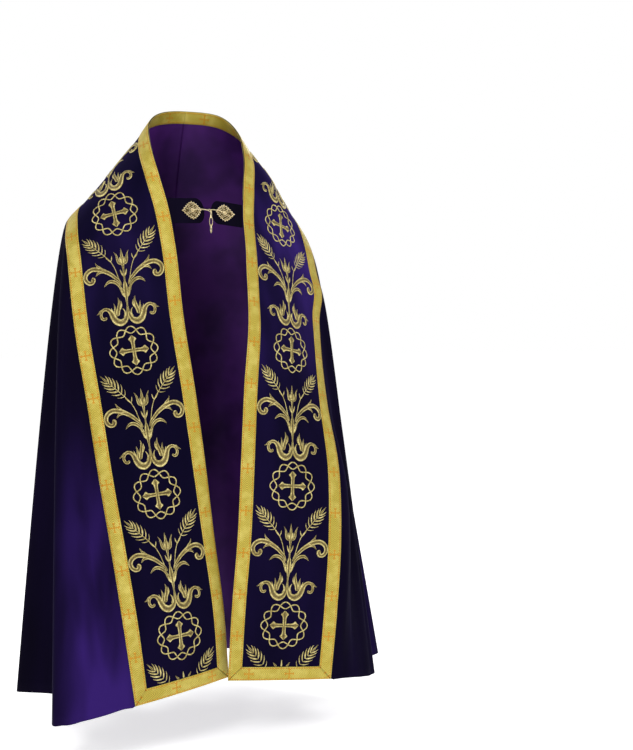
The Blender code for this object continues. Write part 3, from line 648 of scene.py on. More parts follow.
def body_surface(side):
    """Quarter panel from the band's outer edge to the hem, rows down and columns along the band.

    Each column is a cubic Bezier curve from the band's edge to a plain hem, which is the fold table
    smoothed by a Gaussian; the folds are then added as (hem - plain hem) times t to the power late.
    Past s = 0.50 the plain hem passes into the hem itself, so the fronts hang without added folds.
    """
    _, folds, sign = SIDES[side]
    s = BODY_S
    top, normal, across = band_frame(side, s, BAND_W)
    last = np.concatenate([[BAND_L], top[-1] + across[-1] * HEM_TIP + (0, 0, -0.002), [1.0]])
    hem = smooth_rows(np.concatenate([folds, last[None, :]]), s, seam=True)
    late = np.clip(hem[:, 3:4], 1.0, 3.0)
    hem = hem[:, 0:3]
    step = np.gradient(s)[None, :]
    window = np.exp(-((s[:, None] - s[None, :]) / HEM_BLUR) ** 2) * step
    mirrored = np.exp(-((s[:, None] + s[None, :]) / HEM_BLUR) ** 2) * step
    plain = (window @ hem + mirrored @ (hem * (-1, 1, 1))) / (window + mirrored).sum(1, keepdims=True)
    weight = np.clip((s - 0.50) / 0.25, 0, 1)[:, None]
    plain = (1 - weight) * plain + weight * hem
    t = (np.arange(BODY_ROWS + 1) / BODY_ROWS)[:, None, None] ** 1.15
    start = top + across * GAP
    length = np.linalg.norm(hem - start, axis=1, keepdims=True)
    reach = np.interp(s, LEAVE_S, LEAVE)[:, None]
    handle = start + across * np.minimum(reach, 0.30 * length)
    lower = handle + 0.35 * (plain - handle)
    p = ((1 - t) ** 3 * start + 3 * (1 - t) ** 2 * t * handle
         + 3 * (1 - t) * t**2 * lower + t**3 * plain)
    p = p + (hem - plain) * t ** late
    p[:, 0, 0] = 0.0
    n = grid_normals(p) * -sign
    n[0] = normal
    n[:, 0, 0] = 0.0
    n = unit(n)
    down = np.broadcast_to(t[..., 0], p.shape[:2]) * length[None, :, 0]
    return p, n, np.stack([np.broadcast_to(s, down.shape), down], -1)


def build_body():
    """Both quarter panels as shells with the lining inside; a hair of space is left at the back seam."""
    pieces = {}
    for side in SIDES:
        p, n, uv = body_surface(side)
        inner = p - n * VELVET
        p[:, 0, 0] = inner[:, 0, 0] = SIDES[side][2] * GAP / 2
        obj = shell("cope_body_" + side, p, inner, uv, [MAT_VELVET[side], MAT_LINING], 1)
        pieces[side] = settle(obj, "body_" + side)
    return pieces


# ---------------------------------------------------------------- bands and galloons
def build_bands():
    """Each band is a shell of lined velvet over a grid of s (along) and v (across)."""
    s = np.linspace(0, BAND_L, 271)[None, :]
    v = np.linspace(0, BAND_W, 31)[:, None]
    pieces = {}
    for side in SIDES:
        outer = band_lift(side, s, v, np.zeros((31, 271)))
        inner = band_lift(side, s, v, np.full((31, 271), -VELVET))
        outer[:, 0, 0] = inner[:, 0, 0] = SIDES[side][2] * GAP / 2
        uv = np.stack(np.broadcast_arrays(s, v), -1)
        obj = shell("orphrey_band_" + side, outer, inner, uv, [MAT_BAND[side], MAT_LINING], 1)
        pieces[side] = settle(obj, "orphrey_" + side)
    return pieces


# Places across a braid, closer towards its edges.
ACROSS = np.array([0.0, 0.05, 0.16, 0.34, 0.5, 0.66, 0.84, 0.95, 1.0])


def braid_dome(w):
    """Height of a braid over w from 0 to 1: thin pressed edges and a soft raised middle."""
    return BRAID_T * (0.55 + 0.45 * (1 - np.abs(2 * w - 1) ** 5)) + 0.0003 * np.sin(np.pi * w)


def braid_piece(name, surface, a, b, w, uv, node, mat=MAT_BRAID, base=GAP):
    """Braid as a shell over surface(a, b, lift): its foot at the base height and its top domed."""
    dome = np.broadcast_to(braid_dome(w), np.broadcast(a, b).shape)
    top, foot = surface(a, b, base + dome), surface(a, b, np.full(dome.shape, base))
    return settle(shell(name, top, foot, np.stack(np.broadcast_arrays(*uv), -1), [mat]), node)


def on_band(side):
    """One band's surface as a function of s, v and lift."""
    return lambda s, v, lift: band_lift(side, *np.broadcast_arrays(s, v), lift)


def back_band(signed, v, lift):
    """Bands across the centre back seam: the right band where signed s is over 0, the left under it."""
    signed, v = np.broadcast_arrays(signed, v)
    right = band_lift("right", np.abs(signed), v, lift)
    left = band_lift("left", np.abs(signed), v, lift)
    p = np.where((signed > 0)[..., None], right, left)
    p[np.abs(signed) < 1e-9, 0] = 0.0
    return p


def build_galloons():
    """Braids of the bands: along both edges, across the bottom ends, on the back seam and inside the neck.

    The edge braids stop short by w times their width, and the hem braid starts as far in, so that their
    ends meet in a mitre.
    """
    w = ACROSS[:, None]
    u = np.linspace(0, 1, 361)[None, :]
    made = {}
    for side in SIDES:
        for edge in ("inner", "outer"):
            s = u * (BAND_L - 0.0006 - w * BRAID_W)
            v = w * BRAID_W if edge == "inner" else BAND_W - w * BRAID_W
            v = np.broadcast_to(v, s.shape)
            made["%s_%s" % (edge, side)] = braid_piece(
                "gold_galloon_%s_%s" % (edge, side), on_band(side), s, v, w, (s, w * BRAID_W),
                "galloon_%s_%s" % (edge, side))
        c = np.linspace(0, 1, 61)[None, :]
        low = w * BRAID_W + 0.0006
        v = low + (BAND_W - 2 * low) * c
        s = np.broadcast_to(BAND_L - w * BRAID_W, v.shape)
        made["hem_" + side] = braid_piece("gold_galloon_hem_" + side, on_band(side), s, v, w,
                                          (v, w * BRAID_W), "galloon_hem_" + side)
    v = np.linspace(BRAID_W + GAP, BAND_W - BRAID_W - GAP, 61)[None, :]
    s = np.broadcast_to((w - 0.5) * BRAID_W, (len(w), 61))
    made["back"] = braid_piece("gold_galloon_centre_back", back_band, s, v, w, (v, w * BRAID_W),
                               "galloon_centre_back")
    for side in SIDES:
        s = np.linspace(0, FACING_END, 111)[None, :]
        v = w * BRAID_W
        dome = np.broadcast_to(braid_dome(w), (len(w), 111))
        s, v = np.broadcast_arrays(s, v)
        foot = band_lift(side, s, v, np.full(s.shape, -VELVET - GAP))
        top = band_lift(side, s, v, -VELVET - GAP - dome)
        obj = shell("neck_braid_" + side, foot, top, np.stack([s, v], -1), [MAT_BRAID])
        made["facing_" + side] = settle(obj, "neck_facing_" + side)
    return made


# ---------------------------------------------------------------- hood
def back_point(x, z, lift=0.0):
    """Point of the hood's back surface: y is a parabola of x, with a lean, moved back by lift."""
    row = smooth_rows(HOOD_BACK[::-1], np.asarray(z, float).ravel())
    centre, bow, lean = (row[:, k].reshape(np.shape(z)) for k in range(3))
    y = centre - bow * np.asarray(x) ** 2 + lean * np.asarray(x)
    return np.stack([np.broadcast_to(x, y.shape), y + lift, z], -1)


# Line of the two bands' outer edges across the back, by rising x.
EDGE_S = np.linspace(0, 0.36, 90)
EDGE = np.concatenate([cross_point("right", EDGE_S, BAND_W)[::-1], cross_point("left", EDGE_S, BAND_W)[1:]])


def on_hood(across, down, lift):
    """Flat hood place (across, down) laid on the back, narrowed by the bow.

    Its top follows the bands' edge, which rises to the middle, and fades into a straight lower edge.
    """
    across, down, lift = np.broadcast_arrays(across, down, lift)
    straight = np.clip(down / HOOD_DEPTH, 0, 1)
    top = np.interp(across * 0.94, EDGE[:, 0], EDGE[:, 2]) * (1 - straight) + HOOD_MID_Z * straight
    z = top - 0.004 - down * 0.995
    bow = smooth_rows(HOOD_BACK[::-1], z.ravel())[:, 1].reshape(z.shape)
    return back_point(across / (1 + (2 * bow * across) ** 2 / 6), z, lift)


def hood_edge(u, top=0.0):
    """Edge of the shield by u from 0 to 1: left side, corner arc, bottom, corner arc, right side.

    Gives the place (across, down) and the direction inward, so an inset line is place + inward * inset.
    """
    side = HOOD_DEPTH - HOOD_CORNER - top
    arc = math.pi / 2 * HOOD_CORNER
    flat = 2 * (HOOD_HALF_W - HOOD_CORNER)
    total = 2 * side + 2 * arc + flat
    d = np.asarray(u, float) * total
    half = np.minimum(d, total - d)
    sign = np.where(d <= total / 2, -1.0, 1.0)
    turn = np.clip((half - side) / arc, 0, 1) * math.pi / 2
    along = np.clip(half - side - arc, 0, flat / 2)
    x = HOOD_HALF_W - HOOD_CORNER + HOOD_CORNER * np.cos(turn) - along
    y = HOOD_DEPTH - HOOD_CORNER + HOOD_CORNER * np.sin(turn) - np.clip(side - half, 0, side)
    place = np.stack([sign * x, y], -1)
    inward = np.stack([-sign * np.cos(turn), -np.sin(turn)], -1)
    return place, inward, d


def build_hood():
    """Shield: rows down, each as wide as a rectangle with two quarter-round corners is there."""
    down = HOOD_DEPTH * np.sin(np.linspace(0, np.pi / 2, 73))
    over = np.clip(down - (HOOD_DEPTH - HOOD_CORNER), 0, HOOD_CORNER)
    half = HOOD_HALF_W - HOOD_CORNER + np.sqrt(np.maximum(HOOD_CORNER**2 - over**2, 0))
    across = half[:, None] * np.linspace(-1, 1, 81)[None, :]
    down = np.broadcast_to(down[:, None], across.shape)
    obj = shell("hood_shield", on_hood(across, down, VELVET), on_hood(across, down, 0.0),
                np.stack([across, down], -1), [MAT_BAND["hood"], MAT_LINING], 1)
    return settle(obj, "hood")


def build_hood_braids():
    """The narrow galloon on the hood's edge, the wide one inside it and the straight one along its top.

    The first two follow the edge at an inset of their own plus w times their width.
    """
    w = ACROSS[:, None]
    top = HOOD_TOP_BRAID + 0.0003
    place, inward, d = hood_edge(np.linspace(0, 1, 401), top)
    made = []
    for name, inset, width in (("outer", 0.0, HOOD_BRAID), ("inner", HOOD_BRAID + HOOD_STRIP, BRAID_W)):
        line = place[None] + inward[None] * (inset + w * width)[..., None]
        mat = MAT_BRAID if width == BRAID_W else MAT_BRAID_NARROW
        made.append(braid_piece("hood_galloon_" + name + "_edge", on_hood, line[..., 0], line[..., 1], w,
                                (d[None, :], w * width), "hood_galloon_" + name, mat, base=VELVET + GAP))
    across = np.linspace(-HOOD_HALF_W, HOOD_HALF_W, 121)[None, :]
    down = 0.0005 + w * (HOOD_TOP_BRAID - 0.0005)
    across, down = np.broadcast_arrays(across, down)
    made.append(braid_piece("hood_galloon_neck_edge", on_hood, across, down, w,
                            (across + HOOD_HALF_W, w * HOOD_TOP_BRAID), "hood_galloon_top",
                            MAT_BRAID_TOP, base=VELVET + GAP))
    return made


def build_fringe():
    """Header braid and two rows of twisted strands round the hood's edge.

    A strand's middle line hangs from the edge, leaning outward at the sides, swaying with t to the power
    1.5 and bowed by a half sine. Its section is a five-sided oval that swells with t squared.
    """
    rng = np.random.default_rng(7)
    top, spacing, drop = 0.012, 0.0022, 0.062
    _, _, total = hood_edge(1.0, top)
    count = int(total / spacing)
    u = (np.arange(count) + 0.5) / count
    place, inward, _ = hood_edge(u, top)
    slant = np.stack([-inward[:, 0] * 0.62, np.ones(count)], -1)
    slant /= np.linalg.norm(slant, axis=1, keepdims=True)
    rings, sides = 9, 5
    t = np.linspace(0, 1, rings)
    length = drop + rng.uniform(-0.0035, 0.003, count)
    sway = rng.normal(0, 0.0013, (count, 2))
    bend = rng.uniform(-1, 1, count) * 0.0020 - 0.0016
    front = np.arange(count) % 2
    line = place[:, None] - inward[:, None] * 0.002 + slant[:, None] * (length[:, None] * t)[..., None]
    line = line + sway[:, None] * (t[None, :, None] ** 1.5)
    line[..., 0] += bend[:, None] * np.sin(np.pi * t)[None, :]
    height = 0.0016 + (front * 0.0024 + rng.uniform(0, 0.0010, count))[:, None] + 0.0014 * np.sin(np.pi * t)
    centre = on_hood(line[..., 0], line[..., 1], height)
    tangent = unit(np.gradient(centre, axis=1))
    side = unit(np.cross(tangent, (0.0, 1.0, 0.0)))
    out = np.cross(side, tangent)
    angle = 2 * np.pi * np.arange(sides) / sides - 0.3 * np.pi
    radius = 0.00178 * (0.85 + 0.22 * t[None, :] ** 2) * np.ones((count, 1))
    radius[:, -1] *= 0.55
    a = np.cos(angle) * radius[..., None]
    b = np.sin(angle) * radius[..., None] * 0.8
    verts = centre[:, :, None] + a[..., None] * side[:, :, None] + b[..., None] * out[:, :, None]
    phase = rng.uniform(0, 0.004, count)[:, None, None]
    along = (t * drop)[None, :, None] + phase
    # The back row's UV round it is raised by 2; the fringe material paints shade on it.
    round_it = (np.arange(sides) / sides)[None, None, :] + 2.0 * (1 - front)[:, None, None]
    uv = np.stack(np.broadcast_arrays(along, round_it), -1)
    i, j = np.meshgrid(np.arange(rings - 1), np.arange(sides), indexing="ij")
    j2 = (j + 1) % sides
    quad = np.stack([i * sides + j, i * sides + j2, (i + 1) * sides + j2, (i + 1) * sides + j], -1)
    quad = quad.reshape(-1, 4)
    fan = np.array([[0, 2, 1], [0, 3, 2], [0, 4, 3]])
    caps = np.concatenate([fan, fan[:, [0, 2, 1]] + (rings - 1) * sides])
    tri = np.concatenate([quad[:, [0, 1, 2]], quad[:, [0, 2, 3]], caps])
    faces = (tri[None] + (np.arange(count) * rings * sides)[:, None, None]).reshape(-1, 3)
    strands = new_object("fringe_strands", verts.reshape(-1, 3), faces, uv.reshape(-1, 2))
    strands.data.materials.append(MAT_FRINGE)
    settle(strands, "hood_fringe")
    w = ACROSS[:, None]
    place, inward, d = hood_edge(np.linspace(0, 1, 401), top)
    line = place[None] + inward[None] * (0.0010 - w * 0.0040)[..., None]
    header = braid_piece("fringe_header", on_hood, line[..., 0], line[..., 1], w, (d[None, :], w * 0.0040),
                         None, MAT_HEADER, base=0.0012)
    return strands, header


# ---------------------------------------------------------------- embroidery
# Section of a stroke: places across in half widths, its height, and the height of one with a furrow.
SECTION = np.array([-1.0, -0.84, -0.50, -0.16, 0.0, 0.16, 0.50, 0.84, 1.0, 0.0])
CREST = np.array([0.0, 0.62, 0.95, 1.0, 1.0, 1.0, 0.95, 0.62, 0.0, -0.25])
FURROW = np.array([0.0, 0.70, 1.0, 0.62, 0.22, 0.62, 1.0, 0.70, 0.0, -0.25])
SIDES_OF_STROKE = len(SECTION)


def mirror(rows):
    """The same rows with x turned to the other side."""
    return [(-r[0], *r[1:]) for r in rows]


class Stitching:
    """Padded satin strokes: each is a crowned ten-sided section carried along a smooth flat line."""

    def __init__(self, seed):
        """Starts with no strokes and a random start of its own."""
        self.rng = np.random.default_rng(seed)
        self.strokes = []

    def add(self, rows, place, spacing=0.0024):
        """rows are (x, y, width[, lift]) in millimetres; place turns flat metres into surface places.

        The line is a Hermite curve by chord length. The width narrows as a half circle at each end,
        and a wide stroke has a groove along its middle.
        """
        rows = np.asarray(rows, float) * 0.001
        if rows.shape[1] == 3:
            rows = np.column_stack([rows, np.zeros(len(rows))])
        t = np.concatenate([[0], np.cumsum(np.linalg.norm(np.diff(rows[:, :2], axis=0), axis=1))])
        n = max(7, int(t[-1] / spacing) + 3)
        at = t[-1] * (1 - np.cos(np.pi * np.arange(n) / (n - 1))) / 2
        at = 0.6 * at + 0.4 * np.linspace(0, t[-1], n)
        row = smooth_rows(np.column_stack([t, rows]), at)
        width = np.maximum(row[:, 2], 0.0004)
        for end in (at, t[-1] - at):
            reach = np.clip(end / np.maximum(width * 0.5, 1e-5), 0, 1)
            width = width * np.sqrt(np.clip(1 - (1 - reach) ** 2, 0.02, 1))
        tangent = unit(np.gradient(row[:, :2], axis=0))
        normal = np.stack([-tangent[:, 1], tangent[:, 0]], -1)
        half = 0.5 * width[:, None] * SECTION[None, :]
        flat = row[:, None, :2] + normal[:, None] * half[..., None]
        high = np.minimum(0.00045 + 0.15 * width, 0.0019)
        split = float(rows[:, 2].max() > 0.0052)
        share = split * np.clip((width - 0.0030) / 0.003, 0, 1)[:, None]
        lift = 0.0001 + high[:, None] * (CREST + (FURROW - CREST) * share) + row[:, 3:4]
        along = np.broadcast_to((at + self.rng.uniform(0, 0.3))[:, None], lift.shape)
        across = np.broadcast_to(SECTION + 4 * split, lift.shape)
        self.strokes.append((place(flat[..., 0], flat[..., 1]), lift, np.stack([along, across], -1)))

    def make(self, name, surface, mat):
        """All strokes as one mesh, each a closed ring-walled tube with flat ends, facing outward."""
        a = np.concatenate([s[0][0] for s in self.strokes])
        b = np.concatenate([s[0][1] for s in self.strokes])
        lift = np.concatenate([s[1] for s in self.strokes])
        uv = np.concatenate([s[2] for s in self.strokes])
        verts = surface(a, b, lift).reshape(-1, 3)
        faces, base = [], 0
        for _, one, _ in self.strokes:
            n = len(one)
            m = SIDES_OF_STROKE
            i, j = np.meshgrid(np.arange(n - 1), np.arange(m), indexing="ij")
            j2 = (j + 1) % m
            wall = np.stack([i * m + j, i * m + j2, (i + 1) * m + j2, (i + 1) * m + j], -1)
            wall = wall.reshape(-1, 4)
            k = np.arange(m // 2 - 1)
            cap = np.stack([k, k + 1, m - 2 - k, m - 1 - k], -1)
            f = np.concatenate([wall, cap[:, ::-1], cap + (n - 1) * m]) + base
            p, q, r, w = (verts[f[:, k]] - verts[base] for k in range(4))
            volume = (p * np.cross(q, r)).sum() + (p * np.cross(r, w)).sum()
            faces.append(f if volume > 0 else f[:, ::-1])
            base += n * m
        obj = new_object(name, verts, np.concatenate(faces), uv.reshape(-1, 2))
        obj.data.materials.append(mat)
        return obj


def spot(a0, b0, turn=0.0):
    """Placing of a motif: turned, then a = a0 + x and b = b0 - y, so y points up the surface."""
    c, s = math.cos(turn), math.sin(turn)
    return lambda x, y: (a0 + (c * x - s * y), b0 - (s * x + c * y))


def band_spot(s0):
    """The same on a band: x runs across from the middle, and y back towards the neck."""
    return lambda x, y: (s0 - y, BAND_W / 2 + x)


def stitch_medallion(work, place, rays=False):
    """Two cords r = radius +- wave * cos(lobes * angle), passing over and under, round a flared cross."""
    radius, wave, lobes = 50.5, 8.5, 6
    a = np.linspace(0, 2 * np.pi, 97)
    for sign in (1.0, -1.0):
        r = radius + sign * wave * np.cos(lobes * a)
        over = sign * 0.55 * np.sin(lobes * a) + 0.3
        work.add(np.column_stack([r * np.sin(a), r * np.cos(a), np.full(97, 3.0), over]), place, 0.0021)
    arm = [(0, 1, 9.0), (0, 10, 9.2), (0, 18, 10.0), (0, 23.5, 13.5), (0, 27.5, 21.5), (0, 30.0, 17.5),
           (0, 32.5, 10.5), (0, 36.8, 3.0)]
    for k in range(4):
        c, s = math.cos(k * math.pi / 2), math.sin(k * math.pi / 2)
        work.add([(c * x - s * y, s * x + c * y, w) for x, y, w in arm], place, 0.0016)
        if rays:
            for lean, length in ((-0.46, 17.0), (-0.23, 21.0), (0.0, 24.5), (0.23, 21.0), (0.46, 17.0)):
                d = k * math.pi / 2 + math.pi / 4 + lean
                work.add([(5 * math.sin(d), 5 * math.cos(d), 2.2),
                          (length * math.sin(d), length * math.cos(d), 1.0)], place)
    work.add([(0, -3.2, 6.4, 0.5), (0, 0, 7.2, 0.9), (0, 3.2, 6.4, 0.5)], place)


# Strokes of a spray's right half: rows of x, y and width in millimetres from the foot of its axis.
SCROLL = [(9, 97, 4), (13, 108, 6), (22, 118, 8), (32, 128, 9.5), (45, 137, 11), (56, 143, 12), (66, 146, 12),
          (75, 147, 12), (84, 144, 12), (91, 138, 11.5), (94.5, 129, 11), (92, 119, 10.5), (85, 113, 10),
          (77.5, 114, 10), (75.5, 121, 12), (80, 124, 13)]
SPUR = [(52, 144, 6), (58, 149, 7.5), (63, 155, 4.5), (67, 164, 0.8)]
INNER_LEAF = [(34, 129, 4), (43, 135, 7), (52, 138, 8), (61, 136, 6), (69, 128, 0.8)]
SMALL_LEAF = [(11, 82, 3), (13, 93, 5), (19, 103, 7.5), (28, 109, 8.5), (37, 110, 8), (44, 106, 5),
              (51, 99, 0.8)]
FOOT = [(1, 46, 2.6), (1.5, 34, 4), (3.5, 22, 8.5), (10, 11, 14), (20, 6.5, 17.5), (30, 11, 17),
        (37, 22, 14.5), (41.5, 34, 11.5), (48, 42, 9), (56, 44, 7.8), (63, 39.5, 6.6), (66, 32, 5)]
FOOT_TIP = [(57, 44, 5), (65, 41.5, 5.4), (71, 36, 3.4), (77, 33.5, 0.6)]
FOOT_CURL = [(65.5, 36, 6), (66, 27.5, 7), (61.5, 20.5, 7), (55.5, 21, 6), (54.5, 25.5, 5.5)]
TUFT = [[(26, 24, 9), (23.5, 36, 9.5), (20, 48, 8.5), (19, 58, 5), (21, 69, 0.6)],
        [(29, 22, 6), (30.5, 34, 6.5), (30.5, 46, 4), (32.5, 56, 0.6)],
        [(33, 24, 4.5), (36.5, 34, 4.5), (40, 46, 0.6)],
        [(19.5, 38, 3), (14, 49, 3.6), (14.5, 60, 0.6)]]
CRESCENT = [(12, 41, 0.8), (8, 34, 3), (7.5, 26, 4), (12, 19, 0.8)]
# Grains of a wheat ear from its root up: angle from the axis, length and width.
WHEAT = [
    # lean   length  width
    (0.94,   16.0,   2.0),
    (0.84,   22.0,   2.8),
    (0.74,   25.0,   3.8),
    (0.64,   25.0,   4.4),
    (0.54,   23.0,   4.3),
    (0.45,   20.0,   3.8),
]


def wheat_strokes():
    """Loose ear: pairs of pointed grains leaning out from a straight axis, curving forward at the tip."""
    root, tip = np.array([41.0, 176.0]), np.array([84.0, 225.0])
    ahead = (tip - root) / np.linalg.norm(tip - root)
    aside = np.array([ahead[1], -ahead[0]])
    strokes = [[(10, 98, 1.6), (15, 120, 1.9), (22, 145, 1.9), (30, 162, 1.9), (41, 176, 1.9),
                (*(root + ahead * 52), 1.2)]]
    for k, (lean, length, width) in enumerate(WHEAT):
        at = root + ahead * (1 + 9.6 * k)
        for side in (1.0, -1.0):
            line = [at]
            for bend, share in ((0.16, 0.34), (0.0, 0.36), (-0.26, 0.42)):
                turn = lean + bend
                way = ahead * math.cos(turn) + aside * side * math.sin(turn)
                line.append(line[-1] + way * length * share)
            strokes.append([(*line[0], 1.2), (*line[1], width), (*line[2], width * 0.72), (*line[3], 0.6)])
    top = root + ahead * 54
    strokes.append([(*(top + ahead * far), width)
                    for far, width in ((0, 1.6), (7, 5.2), (14, 3.4), (24, 0.6))])
    for way in (1.0, -1.0):
        strokes.append([(28.5, 159, 1.4), (30.5 + 5 * way, 167, 2.6), (32.5 + 8 * way, 174, 0.6)])
    return strokes


def stitch_floral(work, place):
    """Spray of two wheat ears, a tulip, leaves and long scrolls on a pair of scrolled feet."""
    half = [SCROLL, SPUR, INNER_LEAF, SMALL_LEAF, FOOT, FOOT_TIP, FOOT_CURL, CRESCENT, *TUFT,
            *wheat_strokes()]
    half += [[(1.5, 149, 2.5), (8, 153, 6.5), (11.5, 163, 6.5), (13.0, 173, 4), (18.5, 184, 0.6)],
             [(2, 152, 2.5), (4.6, 160, 4.4), (5.4, 169, 0.8)],
             [(1, 118, 1.5), (5, 127, 4), (8, 137, 0.8)],
             [(1, 80, 2), (8, 86, 5.5), (12, 93, 5), (15.5, 101, 0.8)],
             [(1.5, 66, 1.5), (6.5, 74, 5), (9.5, 85, 4), (9, 93, 0.8)]]
    whole = [[(0, 150, 3.5), (0, 161, 6.0), (0, 172, 6.6), (0, 181, 3.6), (0, 191, 0.6)],
             [(0, 98, 3.5), (0, 120, 3.8), (0, 138, 4.5), (0, 150, 7.5)],
             [(0, 42, 3), (0, 56, 4.5), (0, 68, 7.5), (0, 80, 10.5), (0, 92, 11.5), (0, 103, 7.0),
              (0, 108, 3)]]
    for rows in half:
        for shape in (rows, mirror(rows)):
            work.add(shape, place)
    for rows in whole:
        work.add(rows, place)


def stitch_hood_spray(work, place):
    """Pair of scrolled feet meeting under an opening bud, the bud pointing to the middle of the hood."""
    leaves = [[(19, 26, 6), (23.5, 37, 8.5), (22, 48, 8), (21, 58, 4.5), (24, 70, 0.6)],
              [(30, 26, 5), (33.5, 36, 6), (37, 46, 4), (42, 56, 0.6)],
              [(16, 36, 2.6), (12.5, 46, 4), (12.5, 56, 0.6)]]
    for rows in (FOOT, FOOT_TIP, FOOT_CURL, CRESCENT, *leaves):
        low = [(x * 0.98, y - 4, w * 0.95) for x, y, w in rows]
        for shape in (low, mirror(low)):
            work.add(shape, place)
    bud = [[(1, 46, 1.4), (4, 56, 1.8), (8, 65, 4.6), (10.5, 74, 3.6), (13.5, 84, 0.6)],
           [(0.5, 40, 1.4), (5, 44, 3.6), (9, 50, 3.0), (13, 58, 0.6)]]
    for rows in bud:
        for shape in (rows, mirror(rows)):
            work.add(shape, place)
    work.add([(0, 38, 2.6), (0, 56, 2.8), (0, 63, 4.4), (0, 73, 7.4), (0, 83, 5.0), (0, 97, 0.6)], place)


HOOD_SPRAYS = [
    # across  down   turn (feet outward, bud to the middle)
    (0.000, 0.045, math.pi),
    (0.000, 0.371, 0.0),
    (-0.138, 0.108, -2.322),
    (0.138, 0.108, 2.322),
    (-0.145, 0.297, -0.941),
    (0.145, 0.297, 0.941),
]


# Where the motifs of a band stand, by s.
MEDALLIONS = (0.088, 0.436, 0.784, 1.132, 1.480)
SPRAYS = (0.372, 0.720, 1.068, 1.416)
CUT_SPRAY = 1.764       # below the band's end, so only the tips of its wheat and leaves are stitched


def build_embroidery():
    """Each band's medallions and sprays from the centre back down, then the hood's medallion and ring."""
    made = {}
    for k, side in enumerate(SIDES):
        work = Stitching(11 + k)
        for s in MEDALLIONS:
            stitch_medallion(work, band_spot(s))
        for s in SPRAYS:
            stitch_floral(work, band_spot(s))
        end = band_spot(CUT_SPRAY)
        for rows in wheat_strokes()[1:]:
            for shape in (rows, mirror(rows)):
                work.add(shape, end)
        leaf = [(13, 179, 6), (17.5, 184, 4), (22, 190, 0.8)]
        for rows in ([(0, 179, 5), (0, 186, 4), (0, 196, 0.8)], leaf, mirror(leaf)):
            work.add(rows, end)
        obj = work.make("embroidery_band_" + side, on_band(side), MAT_THREAD)
        made[side] = settle(obj, None)
    work = Stitching(31)
    stitch_medallion(work, spot(0.0, 0.205), rays=True)
    for across, down, turn in HOOD_SPRAYS:
        stitch_hood_spray(work, spot(across, down, turn))
    obj = work.make("embroidery_hood", lambda a, b, lift: on_hood(a, b, lift + VELVET), MAT_THREAD)
    made["hood"] = settle(obj, None)
    return made


# ---------------------------------------------------------------- clasp
def morse_frames():
    """For each tab: its root on the band's free edge, direction to the middle, up, outward, the middle
    and the slope of the band's edge against up. The tab lies in the plane of that edge.
    """
    root = {k: cross_point(k, [s], 0.0)[0] for k, s in zip(("right", "left"), TAB_S)}
    mid = 0.5 * (root["right"] + root["left"]) + np.array((0.0, 0.0, TAB_RISE))
    frames = {}
    for side, s in zip(("right", "left"), TAB_S):
        edge = unit(cross_point(side, [s - 0.03], 0.0)[0] - cross_point(side, [s + 0.03], 0.0)[0])
        to_mid = unit(mid - root[side])
        up = unit(edge - to_mid * np.dot(edge, to_mid))
        out = np.cross(to_mid, up)
        out = unit(out * (-1 if out[1] > 0 else 1))
        frames[side] = (root[side], to_mid, up, out, mid, np.dot(edge, to_mid) / np.dot(edge, up))
    return frames


def tube(path, radius, sides=10, closed=True):
    """Points and quads of a round wire along a path; the section is set square to each step."""
    path = np.asarray(path, float)
    n = len(path)
    ahead = np.roll(path, -1, 0) - np.roll(path, 1, 0)
    if not closed:
        ahead[0], ahead[-1] = path[1] - path[0], path[-1] - path[-2]
    ahead = unit(ahead)
    flat = np.linalg.svd(path - path.mean(0))[2][2]
    side = unit(np.cross(ahead, flat))
    other = np.cross(side, ahead)
    a = 2 * np.pi * np.arange(sides) / sides
    radius = np.broadcast_to(np.asarray(radius, float), (n,))[:, None, None]
    verts = path[:, None] + radius * (np.cos(a)[None, :, None] * side[:, None]
                                      + np.sin(a)[None, :, None] * other[:, None])
    count = n if closed else n - 1
    i, j = np.meshgrid(np.arange(count), np.arange(sides), indexing="ij")
    i2, j2 = (i + 1) % n, (j + 1) % sides
    quads = np.stack([i * sides + j, i2 * sides + j, i2 * sides + j2, i * sides + j2], -1).reshape(-1, 4)
    return verts.reshape(-1, 3), quads


def capped(path, radius, sides):
    """Open wire with both ends drawn in to a small closed ring."""
    path = np.asarray(path, float)
    radius = np.broadcast_to(np.asarray(radius, float), (len(path),)).copy()
    radius[0] *= 0.5
    radius[-1] *= 0.5
    verts, quads = tube(path, radius, sides, closed=False)
    k = np.arange(sides // 2 - 1)
    pole = np.stack([k, k + 1, sides - 2 - k, sides - 1 - k], -1)
    return verts, np.concatenate([quads, pole[:, ::-1], pole + (len(path) - 1) * sides])


def bead(centre, radius, squash, frame, rows=8, cols=14):
    """Ball of rings whose two poles are tiny rings closed by the fan of their own quads."""
    along, up, out = frame
    a = np.linspace(0.02, np.pi - 0.02, rows)[:, None]
    b = (2 * np.pi * np.arange(cols) / cols)[None, :]
    x = radius * np.sin(a) * np.cos(b)
    y = radius * np.sin(a) * np.sin(b)
    z = radius * squash * np.cos(a) + 0 * b
    verts = centre + x[..., None] * along + y[..., None] * up + z[..., None] * out
    i, j = np.meshgrid(np.arange(rows - 1), np.arange(cols), indexing="ij")
    j2 = (j + 1) % cols
    quads = np.stack([i * cols + j, (i + 1) * cols + j, (i + 1) * cols + j2, i * cols + j2], -1)
    quads = quads.reshape(-1, 4)
    k = np.arange(cols // 2 - 1)
    low = (rows - 1) * cols
    pole = np.stack([k, k + 1, cols - 2 - k, cols - 1 - k], -1)
    return verts.reshape(-1, 3), np.concatenate([quads, pole, (pole + low)[:, ::-1]])


